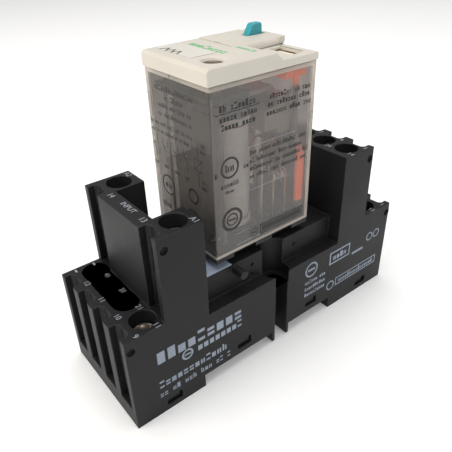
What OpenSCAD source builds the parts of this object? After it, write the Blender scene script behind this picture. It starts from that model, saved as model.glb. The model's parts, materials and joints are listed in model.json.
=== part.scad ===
// Plug-in relay, four changeover contacts, in a screw-terminal socket.
// Millimetres. Z is up, X runs along the socket's length, from the coil end (-X) to the
// normally closed end (+X), and Y runs across it. The origin is the middle of the underside.

/* [Socket] */
// Length of the socket, along X
socket_l = 78; // [77.6:0.1:78.4]
// Width of the socket, along Y
socket_w = 27.5; // [27.4:0.1:27.8]
// Height of the two lower terminal tiers
tier_top = 23.4; // [23.2:0.1:23.8]
// Height of the two terminal towers
tower_top = 42; // [41.6:0.1:43]
// Height of the deck that the relay plugs into
deck_top = 25.8; // [25.7:0.05:25.85]
// Height of the ledge below the deck, on both long sides
ledge_top = 19.4; // [19.2:0.1:19.8]
// Depth of the side recess above the ledge
recess_d = 3.35; // [3.2:0.05:3.4]
// Thickness of the moulded walls
wall = 1.45; // [1.4:0.05:1.5]

/* [Terminals] */
// Pitch of the terminals across the socket
terminal_pitch = 6.7; // [6.6:0.05:6.7]
// Diameter of a screwdriver well
well_d = 5.4; // [5.2:0.1:5.4]
// Width of a wire slot
wire_slot_w = 4.3; // [4.1:0.1:4.4]
// Depth of a wire slot from the outer face
wire_slot_d = 2.1; // [1.8:0.1:2.2]
// Depth of a screw head below the top of its well
head_depth = 2.8; // [2.6:0.1:3.2]
// Pitch of the relay's blades across the socket
blade_pitch = 4.1; // [4.05:0.05:4.15]

/* [Mounting] */
// Depth of the rail seat above the underside
rail_seat_z = 3.2; // [3.1:0.1:3.3]
// Width of the rail that the socket clips on
rail_w = 35; // [34.8:0.1:35.2]
// Width of the panel screw slots
screw_slot_w = 3.7; // [3.5:0.1:3.9]
// Pull of the rail clip, from locked to free
rail_clip_travel = 3; // [2:0.5:3]

/* [Relay] */
// Length of the relay's cap, along X
cap_l = 27; // [26.9:0.1:27.1]
// Width of the relay's cap, along Y
cap_w = 21; // [20.95:0.05:21.1]
// Height of the top of the cap above the socket's underside
cap_top = 67.2; // [67.1:0.05:67.3]
// Height of the cap's lower edge
cap_skirt = 64.2; // [64.15:0.05:64.25]
// Height of the clear cover's lower edge
cover_bottom = 28.6; // [28.5:0.05:28.7]
// Length of a relay blade below the base
blade_drop = 6.4; // [6:0.1:6.5]

/* [Motion] */
// Travel of the test button
button_travel = 1.5; // [1:0.1:1.5]
// Swing of the armature, in degrees
armature_swing = 2; // [1:0.25:2]

/* [Hidden] */

eps = 0.01;
round_fn = 48;
small_fn = 24;

// Socket stations along X
end_x = socket_l / 2;
com_tier_x = -30.1;
coil_tower_x = -19.8;
no_tower_x = 19.3;
nc_tier_x = 28.9;
rail_gap_x0 = -21.8;
rail_gap_x1 = 17.65;
half_w = socket_w / 2;
deck_half_w = half_w - recess_d;
inner_half_w = half_w - wall;
channel_x = 0.7;
channel_y = 11.2;
channel_well_r = 3.2;
channel_seat_z = 16.4;
rib_t = 0.8;
rib_bottom = 0.35;
rib_l = 5.2;
pocket_x = -26.5;
pocket_half_w = 7;

// Terminal stations
com_well_x = -32.8;
coil_well_x = -24;
no_well_x = 23.6;
nc_well_x = 32.8;
coil_well_y = 10.2;
terminal_ys = [for (i = [-1.5 : 1.5]) i * terminal_pitch];
coil_ys = [-coil_well_y, coil_well_y];
wire_slot_floor = 4.5;
cage_half = 2.65;
head_r = 2.5;
head_h = 1.6;
shank_r = 1.4;
shank_l = 6.4;
clamp_half = 2.3;
clamp_t = 1;
clamp_below_top = head_depth + head_h + clamp_t;
bar_t = 0.8;
bar_below_top = 10.6;
well_depth = head_depth + head_h;
cage_depth = 13;

// Base covers
plate_t = 1.2;
web_x0 = -3.6;
web_x1 = 5;
web_narrow_x1 = 1.9;
web_half_w = 7.3;
cavity_top = 24;
shoulder_cavity_top = 17.9;
foot_cavity_top = 17.5;
cover_gap = 0.05;

// Relay stations: x is measured from the relay's own centre
relay_x = -1.8;
coil_row = -9.6;
com_row = -3.4;
no_row = 5;
nc_row = 9.2;
blade_ys = [for (i = [-1.5 : 1.5]) i * blade_pitch];
coil_blade_ys = [-1.5 * blade_pitch, 1.5 * blade_pitch];
blade_w = 2.2;
blade_t = 0.5;
cover_half_l = 13.15;
cover_half_w = 10.43;
cover_wall = 0.9;
base_bottom = 26;
base_top = 30.6;
base_half_l = cover_half_l - cover_wall - cover_gap;
base_half_w = cover_half_w - cover_wall - cover_gap;
cap_low = 65.7;
cap_ceiling = 65;
door_under = 65.75;
door_top = 67.35;
door_x0 = 0.3;
door_pin_x = 12.7;
door_pin_z = 66.5;
door_pin_r = 0.4;
hinge_x = -9;
hinge_z = 57.2;
axis_z = hinge_z + 0.5;
core_x = -3.8;
yoke_x = hinge_x - 0.5;
yoke_z = 31;
flange_top = 55.8;
window_x = [8.2, 11.4];
light_hole = [-8.6, -5.9];
com_post_x = 2;
post_t = 0.5;
ear_ys = [[6.6, 7.4], [9.7, 10.5]];
moving_x = 7.1;
contact_z = 40;
moving_tip_l = 1;
contact_gap = (axis_z - contact_z) * sin(armature_swing) + 0.05;
carrier_top = hinge_z + 2.4;
spring_top = 50.5;
clip_post_x = 29.5;
clip_spring_l = rail_clip_travel + 4.4;

// ---------------------------------------------------------------- helpers

module box(lo, hi) {
    translate(lo)
        cube(hi - lo);
}

// A cube that is centred on Y.
module slab(x0, x1, half_y, z0, z1) {
    box([x0, -half_y, z0], [x1, half_y, z1]);
}

// Both long sides of the socket are alike.
module both_sides() {
    children();
    mirror([0, 1, 0])
        children();
}

// An outline in X and Z, extruded across Y.
module side_profile(points, half_y) {
    translate([0, half_y, 0])
        rotate([90, 0, 0])
            linear_extrude(2 * half_y)
                polygon(points);
}

module in_relay() {
    translate([relay_x, 0, 0])
        children();
}

// A stadium outline: a rectangle with round ends along Y.
module stadium(half_x, half_y) {
    straight = half_y - half_x;
    square([2 * half_x, 2 * straight], center = true);
    for (s = [-1, 1])
        translate([0, s * straight])
            circle(r = half_x, $fn = round_fn);
}

// A round wire swept through a list of points.
module swept_wire(path, r, sides = 6) {
    last = len(path) - 1;
    function unit(v) = v / norm(v);
    function heading(i) = unit(path[min(i + 1, last)] - path[max(i - 1, 0)]);
    function across(i) = unit(cross(heading(i), abs(heading(i)[1]) > 0.9 ? [1, 0, 0] : [0, 1, 0]));
    ring_points = [
        for (i = [0 : last]) for (k = [0 : sides - 1])
            let (turn = 360 * k / sides, a = across(i), b = cross(heading(i), a))
                path[i] + r * (cos(turn) * a + sin(turn) * b)
    ];
    skin = [
        for (i = [0 : last - 1]) for (k = [0 : sides - 1])
            let (n = (k + 1) % sides)
                each [
                    [i * sides + k, i * sides + n, (i + 1) * sides + n],
                    [i * sides + k, (i + 1) * sides + n, (i + 1) * sides + k]
                ]
    ];
    start_cap = [for (k = [sides - 1 : -1 : 0]) k];
    end_cap = [for (k = [0 : sides - 1]) last * sides + k];
    polyhedron(ring_points, concat(skin, [start_cap, end_cap]));
}

// A helical compression spring along Z, standing on the origin.
module coil_spring(r, wire_r, l, turns) {
    steps = 12;
    swept_wire(
        [
            for (i = [0 : turns * steps])
                [
                    r * cos(360 * i / steps),
                    r * sin(360 * i / steps),
                    wire_r + (l - 2 * wire_r) * i / (turns * steps)
                ]
        ],
        wire_r
    );
}

// ---------------------------------------------------------------- socket

// One wire slot, opening towards -X at the origin, with its back corners cut off.
module wire_slot(z0, z1) {
    half = wire_slot_w / 2;
    corner = 0.6;
    translate([0, 0, z0])
        linear_extrude(z1 - z0)
            polygon([
                [-1, -half],
                [wire_slot_d - corner, -half],
                [wire_slot_d, corner - half],
                [wire_slot_d, half - corner],
                [wire_slot_d - corner, half],
                [-1, half]
            ]);
}

// All that one screw terminal takes out of the housing. side is -1 where the wire enters from
// -X, and 1 where it enters from +X; face is the distance from the well to that outer face.
module terminal_space(x, y, top, slot_floor, side, face) {
    window_half = 1.8;
    translate([x, y, 0])
        mirror([side > 0 ? 1 : 0, 0, 0]) {
            translate([0, 0, top - well_depth])
                cylinder(d = well_d, h = well_depth + 1, $fn = round_fn);
            box(
                [-cage_half, -cage_half, top - cage_depth],
                [cage_half, cage_half, top - well_depth + eps]
            );
            box(
                [wire_slot_d - face - 0.2, -window_half, top - bar_below_top + 0.4],
                [0, window_half, top - well_depth - 0.4]
            );
            translate([-face, 0, 0])
                wire_slot(slot_floor, top + 1);
        }
}

// The counterbored slot that takes a panel screw from above, open to the long side.
module panel_screw_slot() {
    translate([channel_x, channel_y, 0]) {
        translate([0, 0, channel_seat_z])
            cylinder(r = channel_well_r, h = deck_top, $fn = round_fn);
        translate([0, 0, -1])
            cylinder(d = screw_slot_w, h = deck_top, $fn = round_fn);
        box([-screw_slot_w / 2, 0, -1], [screw_slot_w / 2, half_w, channel_seat_z + eps]);
    }
}

module snap_windows() {
    depth = wall + 1;
    box([-31.6, half_w - depth, 1.3], [-27.9, half_w + 1, 3.3]);
    box([-12.5, half_w - depth, 4.8], [-8.6, half_w + 1, 6.9]);
    box([9.1, half_w - depth, 4.8], [12.9, half_w + 1, 6.9]);
    box([28.4, half_w - depth, 1.3], [32.4, half_w + 1, 3.3]);
}

// Round dimples and small holes that the moulding tool leaves in the long sides.
module tool_marks() {
    marks = [[-28.6, 39.2], [-37.8, 20.7], [27.9, 39.2], [38.1, 20.8]];
    for (m = marks)
        translate([m[0], half_w + 1, m[1]])
            rotate([90, 0, 0])
                cylinder(d = 1.7, h = 1.7, $fn = small_fn);
    pin_holes = [[-5.4, 23.2], [-5.4, 20.6], [7.4, 22.9]];
    for (m = pin_holes)
        translate([m[0], deck_half_w + 1, m[1]])
            rotate([90, 0, 0])
                cylinder(d = 0.9, h = 1.6, $fn = small_fn);
    box([7.4, deck_half_w - 0.25, 22.75], [10.4, deck_half_w + 1, 23.05]);
}

module blade_slots(row, ys) {
    for (y = ys)
        in_relay()
            box([row - 1.3, y - 0.45, cavity_top - 1], [row + 1.3, y + 0.45, deck_top + 1]);
}

module housing_outline() {
    side_profile(
        [
            [-end_x, 0], [-end_x, tier_top], [com_tier_x, tier_top], [com_tier_x, tower_top],
            [coil_tower_x, tower_top], [coil_tower_x, deck_top], [no_tower_x, deck_top],
            [no_tower_x, tower_top], [nc_tier_x, tower_top], [nc_tier_x, tier_top],
            [end_x, tier_top], [end_x, 0], [rail_gap_x1, 0], [rail_gap_x1, rail_seat_z],
            [rail_gap_x0, rail_seat_z], [rail_gap_x0, 0]
        ],
        half_w
    );
}

module housing_cavities() {
    foot_x = end_x - wall;
    foot_top = 3.9;
    tier_overlap = 0.7;
    // Coil half: over the foot plate, under the tower, and under the deck
    slab(-foot_x, rail_gap_x0 + eps, inner_half_w, -1, foot_top);
    slab(com_tier_x - tier_overlap, rail_gap_x0 + eps, inner_half_w, -1, foot_cavity_top);
    slab(rail_gap_x0, web_x0, inner_half_w, rail_seat_z - 1, shoulder_cavity_top);
    slab(-18.6, web_x0, deck_half_w - 1.2, shoulder_cavity_top - eps, cavity_top);
    for (y = coil_ys)
        box(
            [coil_well_x - cage_half, y - cage_half, foot_cavity_top - 1],
            [coil_well_x + cage_half, y + cage_half, tower_top - cage_depth + 1]
        );
    // Contact half
    slab(rail_gap_x1 - eps, foot_x, inner_half_w, -1, foot_top);
    slab(rail_gap_x1 - eps, -com_tier_x + tier_overlap, inner_half_w, -1, foot_cavity_top);
    slab(web_x1, rail_gap_x1, inner_half_w, rail_seat_z - 1, shoulder_cavity_top);
    slab(web_x1, 18.2, deck_half_w - 1.2, shoulder_cavity_top - eps, cavity_top);
    slab(web_narrow_x1, web_x1 + eps, web_half_w, rail_seat_z - 1, cavity_top);
    for (y = terminal_ys)
        box(
            [no_well_x - cage_half, y - cage_half, foot_cavity_top - 1],
            [no_well_x + cage_half, y + cage_half, tower_top - cage_depth + 1]
        );
    // The rail clip's tail passes through the end wall
    slab(foot_x - 1, end_x + 1, 5, -1, 2.5);
}

module socket_housing() {
    rib_x0 = channel_x - screw_slot_w / 2 - rib_t;
    rib_x1 = channel_x + screw_slot_w / 2;
    color([0.16, 0.16, 0.17])
        difference() {
            union() {
                difference() {
                    housing_outline();
                    both_sides()
                        box(
                            [coil_tower_x, deck_half_w, ledge_top],
                            [no_tower_x, half_w + 1, deck_top + 1]
                        );
                    housing_cavities();
                }
                both_sides() {
                    for (x = [rib_x0, rib_x1])
                        box([x, half_w - rib_l, rib_bottom], [x + rib_t, half_w, rail_seat_z + eps]);
                    // Pivot for a hold-down clip
                    translate([-10.2, half_w - 0.2, 24.4])
                        rotate([90, 0, 0])
                            cylinder(r = 1, h = recess_d, $fn = round_fn);
                }
            }
            both_sides() {
                panel_screw_slot();
                snap_windows();
                tool_marks();
            }
            slab(pocket_x, coil_tower_x + 1, pocket_half_w, deck_top, tower_top + 1);
            for (y = terminal_ys) {
                terminal_space(com_well_x, y, tier_top, wire_slot_floor, -1, end_x + com_well_x);
                terminal_space(nc_well_x, y, tier_top, wire_slot_floor, 1, end_x - nc_well_x);
                terminal_space(no_well_x, y, tower_top, tier_top, 1, nc_tier_x - no_well_x);
            }
            for (y = coil_ys)
                terminal_space(coil_well_x, y, tower_top, tier_top, -1, coil_well_x - com_tier_x);
            blade_slots(coil_row, coil_blade_ys);
            blade_slots(com_row, blade_ys);
            blade_slots(no_row, blade_ys);
            blade_slots(nc_row, blade_ys);
        }
}

// A barb that snaps into a window of the housing, with the tongue that carries it.
module snap_tab(x0, x1, z0, z1) {
    tongue_y = inner_half_w - cover_gap - 0.8;
    both_sides() {
        box([x0, tongue_y, z0 - 0.6], [x1, inner_half_w - cover_gap, z1]);
        box([x0, inner_half_w - cover_gap - eps, z0], [x1, half_w - 0.6, z1]);
    }
}

// Closes the coil half from below; its hook is the fixed side of the rail fastening.
module coil_base_cover() {
    foot_x = end_x - wall - cover_gap;
    plate_half = inner_half_w - cover_gap;
    rail_edge = (rail_gap_x0 + rail_gap_x1 - rail_w) / 2;
    color([0.13, 0.13, 0.14]) {
        slab(-foot_x, rail_gap_x0, plate_half, 0, plate_t);
        slab(rail_gap_x0 - plate_t, rail_gap_x0, plate_half, 0, rail_seat_z + plate_t);
        slab(rail_gap_x0 - eps, web_x0 - cover_gap, plate_half, rail_seat_z, rail_seat_z + plate_t);
        side_profile(
            [
                [rail_gap_x0 - eps, 0.3], [rail_edge + 0.6, 0.3], [rail_edge + 1.4, 1.1],
                [rail_edge + 1.4, 2], [rail_gap_x0 - eps, 2]
            ],
            9
        );
        snap_tab(-31.4, -28.1, 1.5, 3.1);
        snap_tab(-12.3, -8.8, 5, 6.7);
    }
}

// Closes the contact half from below, and guides the rail clip in a channel.
module contact_base_cover() {
    foot_x = end_x - wall - cover_gap;
    plate_half = inner_half_w - cover_gap;
    channel_half = 5;
    lip_half = 4;
    roof = 2.5;
    roof_t = 1.1;
    color([0.13, 0.13, 0.14]) {
        translate([rail_gap_x1, 0, 0])
            rotate([90, 0, 90])
                linear_extrude(foot_x - rail_gap_x1)
                    polygon([
                        [-plate_half, 0], [-lip_half, 0], [-lip_half, plate_t - 0.1],
                        [-channel_half, plate_t - 0.1], [-channel_half, roof], [channel_half, roof],
                        [channel_half, plate_t - 0.1], [lip_half, plate_t - 0.1], [lip_half, 0],
                        [plate_half, 0], [plate_half, plate_t], [channel_half + roof_t, plate_t],
                        [channel_half + roof_t, roof + roof_t], [-channel_half - roof_t, roof + roof_t],
                        [-channel_half - roof_t, plate_t], [-plate_half, plate_t]
                    ]);
        both_sides()
            box(
                [rail_gap_x1, channel_half, 0.1],
                [rail_gap_x1 + plate_t, plate_half, rail_seat_z + plate_t]
            );
        slab(rail_gap_x1, rail_gap_x1 + plate_t, plate_half, roof + 0.5, rail_seat_z + plate_t);
        slab(web_x1 + cover_gap, rail_gap_x1 + eps, plate_half, rail_seat_z, rail_seat_z + plate_t);
        slab(
            web_narrow_x1 + cover_gap, web_x1 + 1, web_half_w - cover_gap,
            rail_seat_z, rail_seat_z + plate_t
        );
        // The post that the clip's spring pushes against
        slab(clip_post_x, clip_post_x + 1, 1.2, 0.6, roof + eps);
        snap_tab(9.3, 12.7, 5, 6.7);
        snap_tab(28.6, 32.2, 1.5, 3.1);
    }
}

module wiring_label() {
    color([0.66, 0.72, 0.8])
        difference() {
            slab(coil_tower_x + 0.1, -11, deck_half_w - 0.1, deck_top, deck_top + 0.12);
            blade_slots(coil_row, coil_blade_ys);
        }
}

// The rail clip slides along X in its channel; its nose grips under the rail's edge.
module rail_clip() {
    nose_x = (rail_gap_x0 + rail_gap_x1 + rail_w) / 2 - 1.6;
    tail_x = end_x - 0.4;
    neck_half = 3.8;
    bar_half = 4.8;
    color([0.12, 0.12, 0.13])
        difference() {
            union() {
                slab(nose_x + 3, tail_x, neck_half, 0.3, 1.25);
                slab(nose_x + 3, tail_x, bar_half, 1.2, 2.3);
                side_profile(
                    [
                        [nose_x, 1.1], [nose_x + 0.8, 0.3], [nose_x + 3.05, 0.3],
                        [nose_x + 3.05, 2.1], [nose_x, 2.1]
                    ],
                    neck_half
                );
            }
            slab(clip_post_x - clip_spring_l - 0.1, clip_post_x + 1.2, 1.6, -1, 3);
            // Slot for a screwdriver blade
            slab(tail_x - 1.9, tail_x - 0.8, 2, -1, 1.6);
        }
}

module rail_clip_spring() {
    color([0.7, 0.7, 0.72])
        translate([clip_post_x - clip_spring_l - 0.05, 0, 1.35])
            rotate([0, 90, 0])
                coil_spring(0.7, 0.15, clip_spring_l, 6);
}

// ---------------------------------------------------------------- terminals

// One combination-head clamp screw, at the top of its tier.
module terminal_screw(top) {
    head_top = top - head_depth;
    slot_w = 0.75;
    difference() {
        union() {
            translate([0, 0, head_top - head_h])
                cylinder(r = head_r, h = head_h, $fn = round_fn);
            translate([0, 0, head_top - head_h - shank_l])
                cylinder(r = shank_r, h = shank_l + eps, $fn = small_fn);
        }
        for (turn = [0, 90])
            translate([0, 0, head_top])
                rotate([0, 0, turn + 25])
                    cube([1.5 * head_r, slot_w, 2 * head_h * 0.6], center = true);
    }
}

module screws_at(x, ys, top) {
    color([0.75, 0.74, 0.7])
        for (y = ys)
            translate([x, y, 0])
                terminal_screw(top);
}

// The square plates that press the wires down.
module clamps_at(x, ys, top) {
    bore_r = shank_r + 0.1;
    color([0.78, 0.76, 0.7])
        for (y = ys)
            translate([x, y, top - clamp_below_top])
                difference() {
                    translate([-clamp_half, -clamp_half, 0])
                        cube([2 * clamp_half, 2 * clamp_half, clamp_t]);
                    translate([0, 0, -1])
                        cylinder(r = bore_r, h = clamp_t + 2, $fn = small_fn);
                }
}

module com_screws() { screws_at(com_well_x, terminal_ys, tier_top); }
module coil_screws() { screws_at(coil_well_x, coil_ys, tower_top); }
module no_screws() { screws_at(no_well_x, terminal_ys, tower_top); }
module nc_screws() { screws_at(nc_well_x, terminal_ys, tier_top); }

module com_clamp_plates() { clamps_at(com_well_x, terminal_ys, tier_top); }
module coil_clamp_plates() { clamps_at(coil_well_x, coil_ys, tower_top); }
module no_clamp_plates() { clamps_at(no_well_x, terminal_ys, tower_top); }
module nc_clamp_plates() { clamps_at(nc_well_x, terminal_ys, tier_top); }

// The square end of a busbar, with the hole that the clamp screw threads into.
module bar_pad(x, y, top) {
    translate([x, y, top - bar_below_top])
        difference() {
            translate([-clamp_half, -clamp_half, 0])
                cube([2 * clamp_half, 2 * clamp_half, bar_t]);
            translate([0, 0, -1])
                cylinder(r = shank_r + 0.02, h = bar_t + 2, $fn = small_fn);
        }
}

// A flat lane that jogs from one row's pitch to the other's.
module bar_lane(xa, ya, xb, yb, z, w = 1.9) {
    jog_a = xa + (xb - xa) * 0.35;
    jog_b = xa + (xb - xa) * 0.75;
    translate([0, 0, z])
        linear_extrude(bar_t)
            polygon([
                [xa, ya - w / 2], [jog_a, ya - w / 2], [jog_b, yb - w / 2], [xb, yb - w / 2],
                [xb, yb + w / 2], [jog_b, yb + w / 2], [jog_a, ya + w / 2], [xa, ya + w / 2]
            ]);
}

// The two spring leaves that grip a relay blade.
module blade_fork(x, y, z) {
    leaf_in = blade_t / 2 + 0.05;
    leaf_out = leaf_in + 0.45;
    both = [-1, 1];
    translate([x, y, 0]) {
        box([-1.2, -leaf_out, z], [1.2, leaf_out, z + 1.4]);
        for (s = both)
            box(
                [-1.2, s > 0 ? leaf_in : -leaf_out, z + 1.3],
                [1.2, s > 0 ? leaf_out : -leaf_in, cavity_top - 0.1]
            );
    }
}

module com_busbars() {
    z = tier_top - bar_below_top;
    x = relay_x + com_row;
    color([0.82, 0.7, 0.4])
        for (i = [0 : 3]) {
            bar_pad(com_well_x, terminal_ys[i], tier_top);
            bar_lane(com_well_x + 1.8, terminal_ys[i], x + 1.2, blade_ys[i], z);
            blade_fork(x, blade_ys[i], z);
        }
}

module nc_busbars() {
    z = tier_top - bar_below_top;
    x = relay_x + nc_row;
    offset_y = -1.25;
    color([0.82, 0.7, 0.4])
        for (i = [0 : 3]) {
            bar_pad(nc_well_x, terminal_ys[i], tier_top);
            bar_lane(nc_well_x - 1.8, terminal_ys[i] + offset_y, x - 1.2, blade_ys[i], z);
            blade_fork(x, blade_ys[i], z);
        }
}

module no_busbars() {
    lane_z = 7;
    x = relay_x + no_row;
    drop_x = no_well_x - clamp_half;
    offset_y = 1.25;
    color([0.82, 0.7, 0.4])
        for (i = [0 : 3]) {
            bar_pad(no_well_x, terminal_ys[i], tower_top);
            box(
                [drop_x, terminal_ys[i] + offset_y - 0.9, lane_z],
                [drop_x + 0.7, terminal_ys[i] + offset_y + 0.9, tower_top - bar_below_top + bar_t]
            );
            bar_lane(drop_x + 0.7, terminal_ys[i] + offset_y, x - 1.2, blade_ys[i], lane_z);
            blade_fork(x, blade_ys[i], lane_z);
        }
}

module coil_busbars() {
    lane_z = 16;
    x = relay_x + coil_row;
    drop_x = coil_well_x + clamp_half;
    color([0.82, 0.7, 0.4])
        for (i = [0 : 1]) {
            bar_pad(coil_well_x, coil_ys[i], tower_top);
            box(
                [drop_x - 0.7, coil_ys[i] - 0.9, lane_z],
                [drop_x, coil_ys[i] + 0.9, tower_top - bar_below_top + bar_t]
            );
            bar_lane(drop_x - 0.7, coil_ys[i], x + 1.2, coil_blade_ys[i], lane_z);
            blade_fork(x, coil_blade_ys[i], lane_z);
        }
}

// ---------------------------------------------------------------- relay shell

module base_slot(row, y) {
    box(
        [row - blade_w / 2 - 0.05, y - blade_t / 2 - 0.05, base_bottom - 1],
        [row + blade_w / 2 + 0.05, y + blade_t / 2 + 0.05, base_top + 1]
    );
}

// The black moulding that holds the blades. Its feet stand on the deck, and its tabs show
// below the cover.
module relay_base() {
    tab_bottom = cover_bottom - 1.1;
    color([0.14, 0.14, 0.15])
        in_relay()
            difference() {
                union() {
                    slab(-base_half_l, base_half_l, base_half_w, tab_bottom + 0.4, base_top);
                    slab(-11.2, 11.2, 8, base_bottom, base_top - 1);
                    // Pad under the iron frame
                    slab(core_x - 3.2, core_x + 3.2, 5, base_top - eps, yoke_z);
                    for (x = [-10.7, 0, 10.7])
                        slab(
                            x - 2.35, x + 2.35, cover_half_w - 0.15,
                            tab_bottom, cover_bottom - cover_gap
                        );
                }
                for (y = coil_blade_ys)
                    base_slot(coil_row, y);
                for (row = [com_row, no_row, nc_row])
                    for (y = blade_ys)
                        base_slot(row, y);
                // Grooves for the links from the blades to the contact posts
                for (y = blade_ys) {
                    box([com_row, y - 0.6, base_top - 0.75], [com_post_x + post_t + 0.1, y + 0.6, base_top + 1]);
                    box([nc_row - 1.6, y - 0.6, base_top - 0.75], [nc_row, y + 0.6, base_top + 1]);
                }
                for (y = coil_blade_ys)
                    box(
                        [coil_row - 0.4, min(y, sign(y) * 9), base_top - 0.6],
                        [coil_row + 0.4, max(y, sign(y) * 9), base_top + 1]
                    );
            }
}

module button_hole(z0, z1) {
    box([7.95, 3.8, z0], [12.25, 6, z1]);
}

// The clear dust cover: four walls and a roof, open below.
module clear_cover() {
    roof_under = cap_skirt - 0.8;
    spigot_top = 64.9;
    color([0.8, 0.78, 0.74, 0.35])
        in_relay()
            difference() {
                union() {
                    slab(-cover_half_l, cover_half_l, cover_half_w, cover_bottom, cap_skirt - cover_gap);
                    slab(-12.2, 12.2, 9.5, cap_skirt - 1, spigot_top);
                }
                slab(
                    -cover_half_l + cover_wall, cover_half_l - cover_wall,
                    cover_half_w - cover_wall, cover_bottom - 1, roof_under
                );
                slab(-11.3, 11.3, 8.6, cap_skirt, spigot_top + 1);
                button_hole(60, 66);
                translate([light_hole[0], light_hole[1], 60])
                    cylinder(r = 1.9, h = 8, $fn = round_fn);
            }
}

// The cream cap: a raised half, a lower half with the flag's window, and the door's hinge ears.
module relay_cap() {
    half_l = cap_l / 2;
    half_w2 = cap_w / 2;
    ramp_x0 = 2.5;
    ramp_x1 = 4.1;
    color([0.9, 0.87, 0.8])
        in_relay()
            difference() {
                union() {
                    side_profile(
                        [
                            [-half_l, cap_skirt], [-half_l, cap_top - 0.5], [-half_l + 0.5, cap_top],
                            [ramp_x0, cap_top], [ramp_x1, cap_low], [half_l - 0.3, cap_low],
                            [half_l, cap_low - 0.3], [half_l, cap_skirt]
                        ],
                        half_w2
                    );
                    for (e = ear_ys)
                        translate([0, e[1], 0])
                            rotate([90, 0, 0])
                                linear_extrude(e[1] - e[0])
                                    union() {
                                        translate([door_pin_x, door_pin_z])
                                            circle(r = 0.75, $fn = round_fn);
                                        translate([door_pin_x - 0.75, cap_low - eps])
                                            square([1.3, door_pin_z - cap_low]);
                                    }
                }
                // Room for the door
                box([door_x0 - 0.1, -1.35, cap_low], [ramp_x1 + 1, half_w2 + 1, cap_top + 1]);
                // Hollow underside
                slab(-12.25, 12.25, 9.55, cap_skirt - 1, cap_ceiling);
                slab(-11.6, -1.2, 8.8, cap_skirt - 1, cap_ceiling + 1);
                button_hole(60, 70);
                // Dished light hole
                translate([light_hole[0], light_hole[1], cap_top - 0.9])
                    cylinder(r1 = 1.7, r2 = 2.35, h = 0.92, $fn = round_fn);
                translate([light_hole[0], light_hole[1], 60])
                    cylinder(r = 1.7, h = 8, $fn = round_fn);
                // Window of the status flag, and the line beside it
                box([window_x[0], -8.5, 60], [window_x[1], -1.9, 70]);
                box([11.65, -7.2, cap_low - 0.2], [11.8, -1.8, cap_low + 1]);
                // Pinhole
                translate([-11.8, -4.6, cap_top - 0.5])
                    cylinder(r = 0.18, h = 1, $fn = small_fn);
                // Bores for the door's stub pins
                translate([door_pin_x, 11, door_pin_z])
                    rotate([90, 0, 0])
                        cylinder(r = door_pin_r + 0.05, h = 5, $fn = round_fn);
            }
}

module marking_label() {
    color([0.93, 0.93, 0.92])
        in_relay()
            box([-10.7, -2.1, cap_top], [-4.9, 9.9, cap_top + 0.1]);
}

// ---------------------------------------------------------------- relay blades and contacts

module blade(row, y, top) {
    tip = 0.6;
    translate([row, y + blade_t / 2, 0])
        rotate([90, 0, 0])
            linear_extrude(blade_t)
                polygon([
                    [-blade_w / 2 + tip, base_bottom - blade_drop], [blade_w / 2 - tip, base_bottom - blade_drop],
                    [blade_w / 2, base_bottom - blade_drop + tip], [blade_w / 2, top],
                    [-blade_w / 2, top], [-blade_w / 2, base_bottom - blade_drop + tip]
                ]);
}

module coil_blades() {
    color([0.8, 0.79, 0.75])
        in_relay()
            for (y = coil_blade_ys)
                blade(coil_row, y, base_top);
}

module com_blades() {
    post_top = 47;
    color([0.8, 0.79, 0.75])
        in_relay()
            for (y = blade_ys) {
                blade(com_row, y, base_top - 0.2);
                box([com_row, y - 0.5, base_top - 0.7], [com_post_x + post_t, y + 0.5, base_top - 0.2]);
                box([com_post_x, y - 0.5, base_top - 0.7], [com_post_x + post_t, y + 0.5, post_top]);
            }
}

// A normally open post stands straight above its blade; its tip faces +X.
module no_blades() {
    color([0.8, 0.66, 0.35])
        in_relay()
            for (y = blade_ys) {
                blade(no_row, y, base_top + 0.3);
                box([no_row - 0.2, y - 1.1, base_top], [no_row + 0.3, y + 1.1, contact_z + 1.5]);
            }
}

module nc_blades() {
    post_x = moving_x + moving_tip_l / 2 + 0.63;
    color([0.8, 0.66, 0.35])
        in_relay()
            for (y = blade_ys) {
                blade(nc_row, y, base_top - 0.2);
                box([post_x, y - 0.5, base_top - 0.7], [nc_row, y + 0.5, base_top - 0.2]);
                box([post_x, y - 1.1, base_top], [post_x + 0.5, y + 1.1, contact_z + 1.5]);
                box([post_x, y - 0.5, base_top - 0.7], [post_x + 0.5, y + 0.5, base_top + 1]);
            }
}

module contact_tips(x0, x1, r) {
    color([0.85, 0.85, 0.86])
        in_relay()
            for (y = blade_ys)
                translate([x0, y, contact_z])
                    rotate([0, 90, 0])
                        cylinder(r = r, h = x1 - x0, $fn = small_fn);
}

module no_contact_tips() {
    contact_tips(no_row + 0.3, moving_x - moving_tip_l / 2 - contact_gap, 1);
}

module nc_contact_tips() {
    contact_tips(moving_x + moving_tip_l / 2 + 0.03, moving_x + moving_tip_l / 2 + 0.63, 1);
}

// ---------------------------------------------------------------- relay magnet

// The L-shaped iron frame; the armature rocks on its upper edge.
module yoke() {
    color([0.62, 0.62, 0.62])
        in_relay()
            difference() {
                union() {
                    slab(yoke_x, core_x + 3.8, 7, yoke_z, 32.2);
                    slab(yoke_x, yoke_x + 1, 7, yoke_z, hinge_z);
                }
                translate([core_x, 0, 30])
                    cylinder(r = 1.4, h = 4, $fn = small_fn);
            }
}

module coil_core() {
    color([0.66, 0.66, 0.66])
        in_relay()
            translate([core_x, 0, 0]) {
                translate([0, 0, yoke_z])
                    cylinder(r = 1.4, h = 1.3, $fn = small_fn);
                translate([0, 0, 32.2])
                    cylinder(r = 2, h = 23.8, $fn = round_fn);
                translate([0, 0, 55.9])
                    cylinder(r = 3.1, h = hinge_z - 55.9, $fn = round_fn);
            }
}

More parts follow.
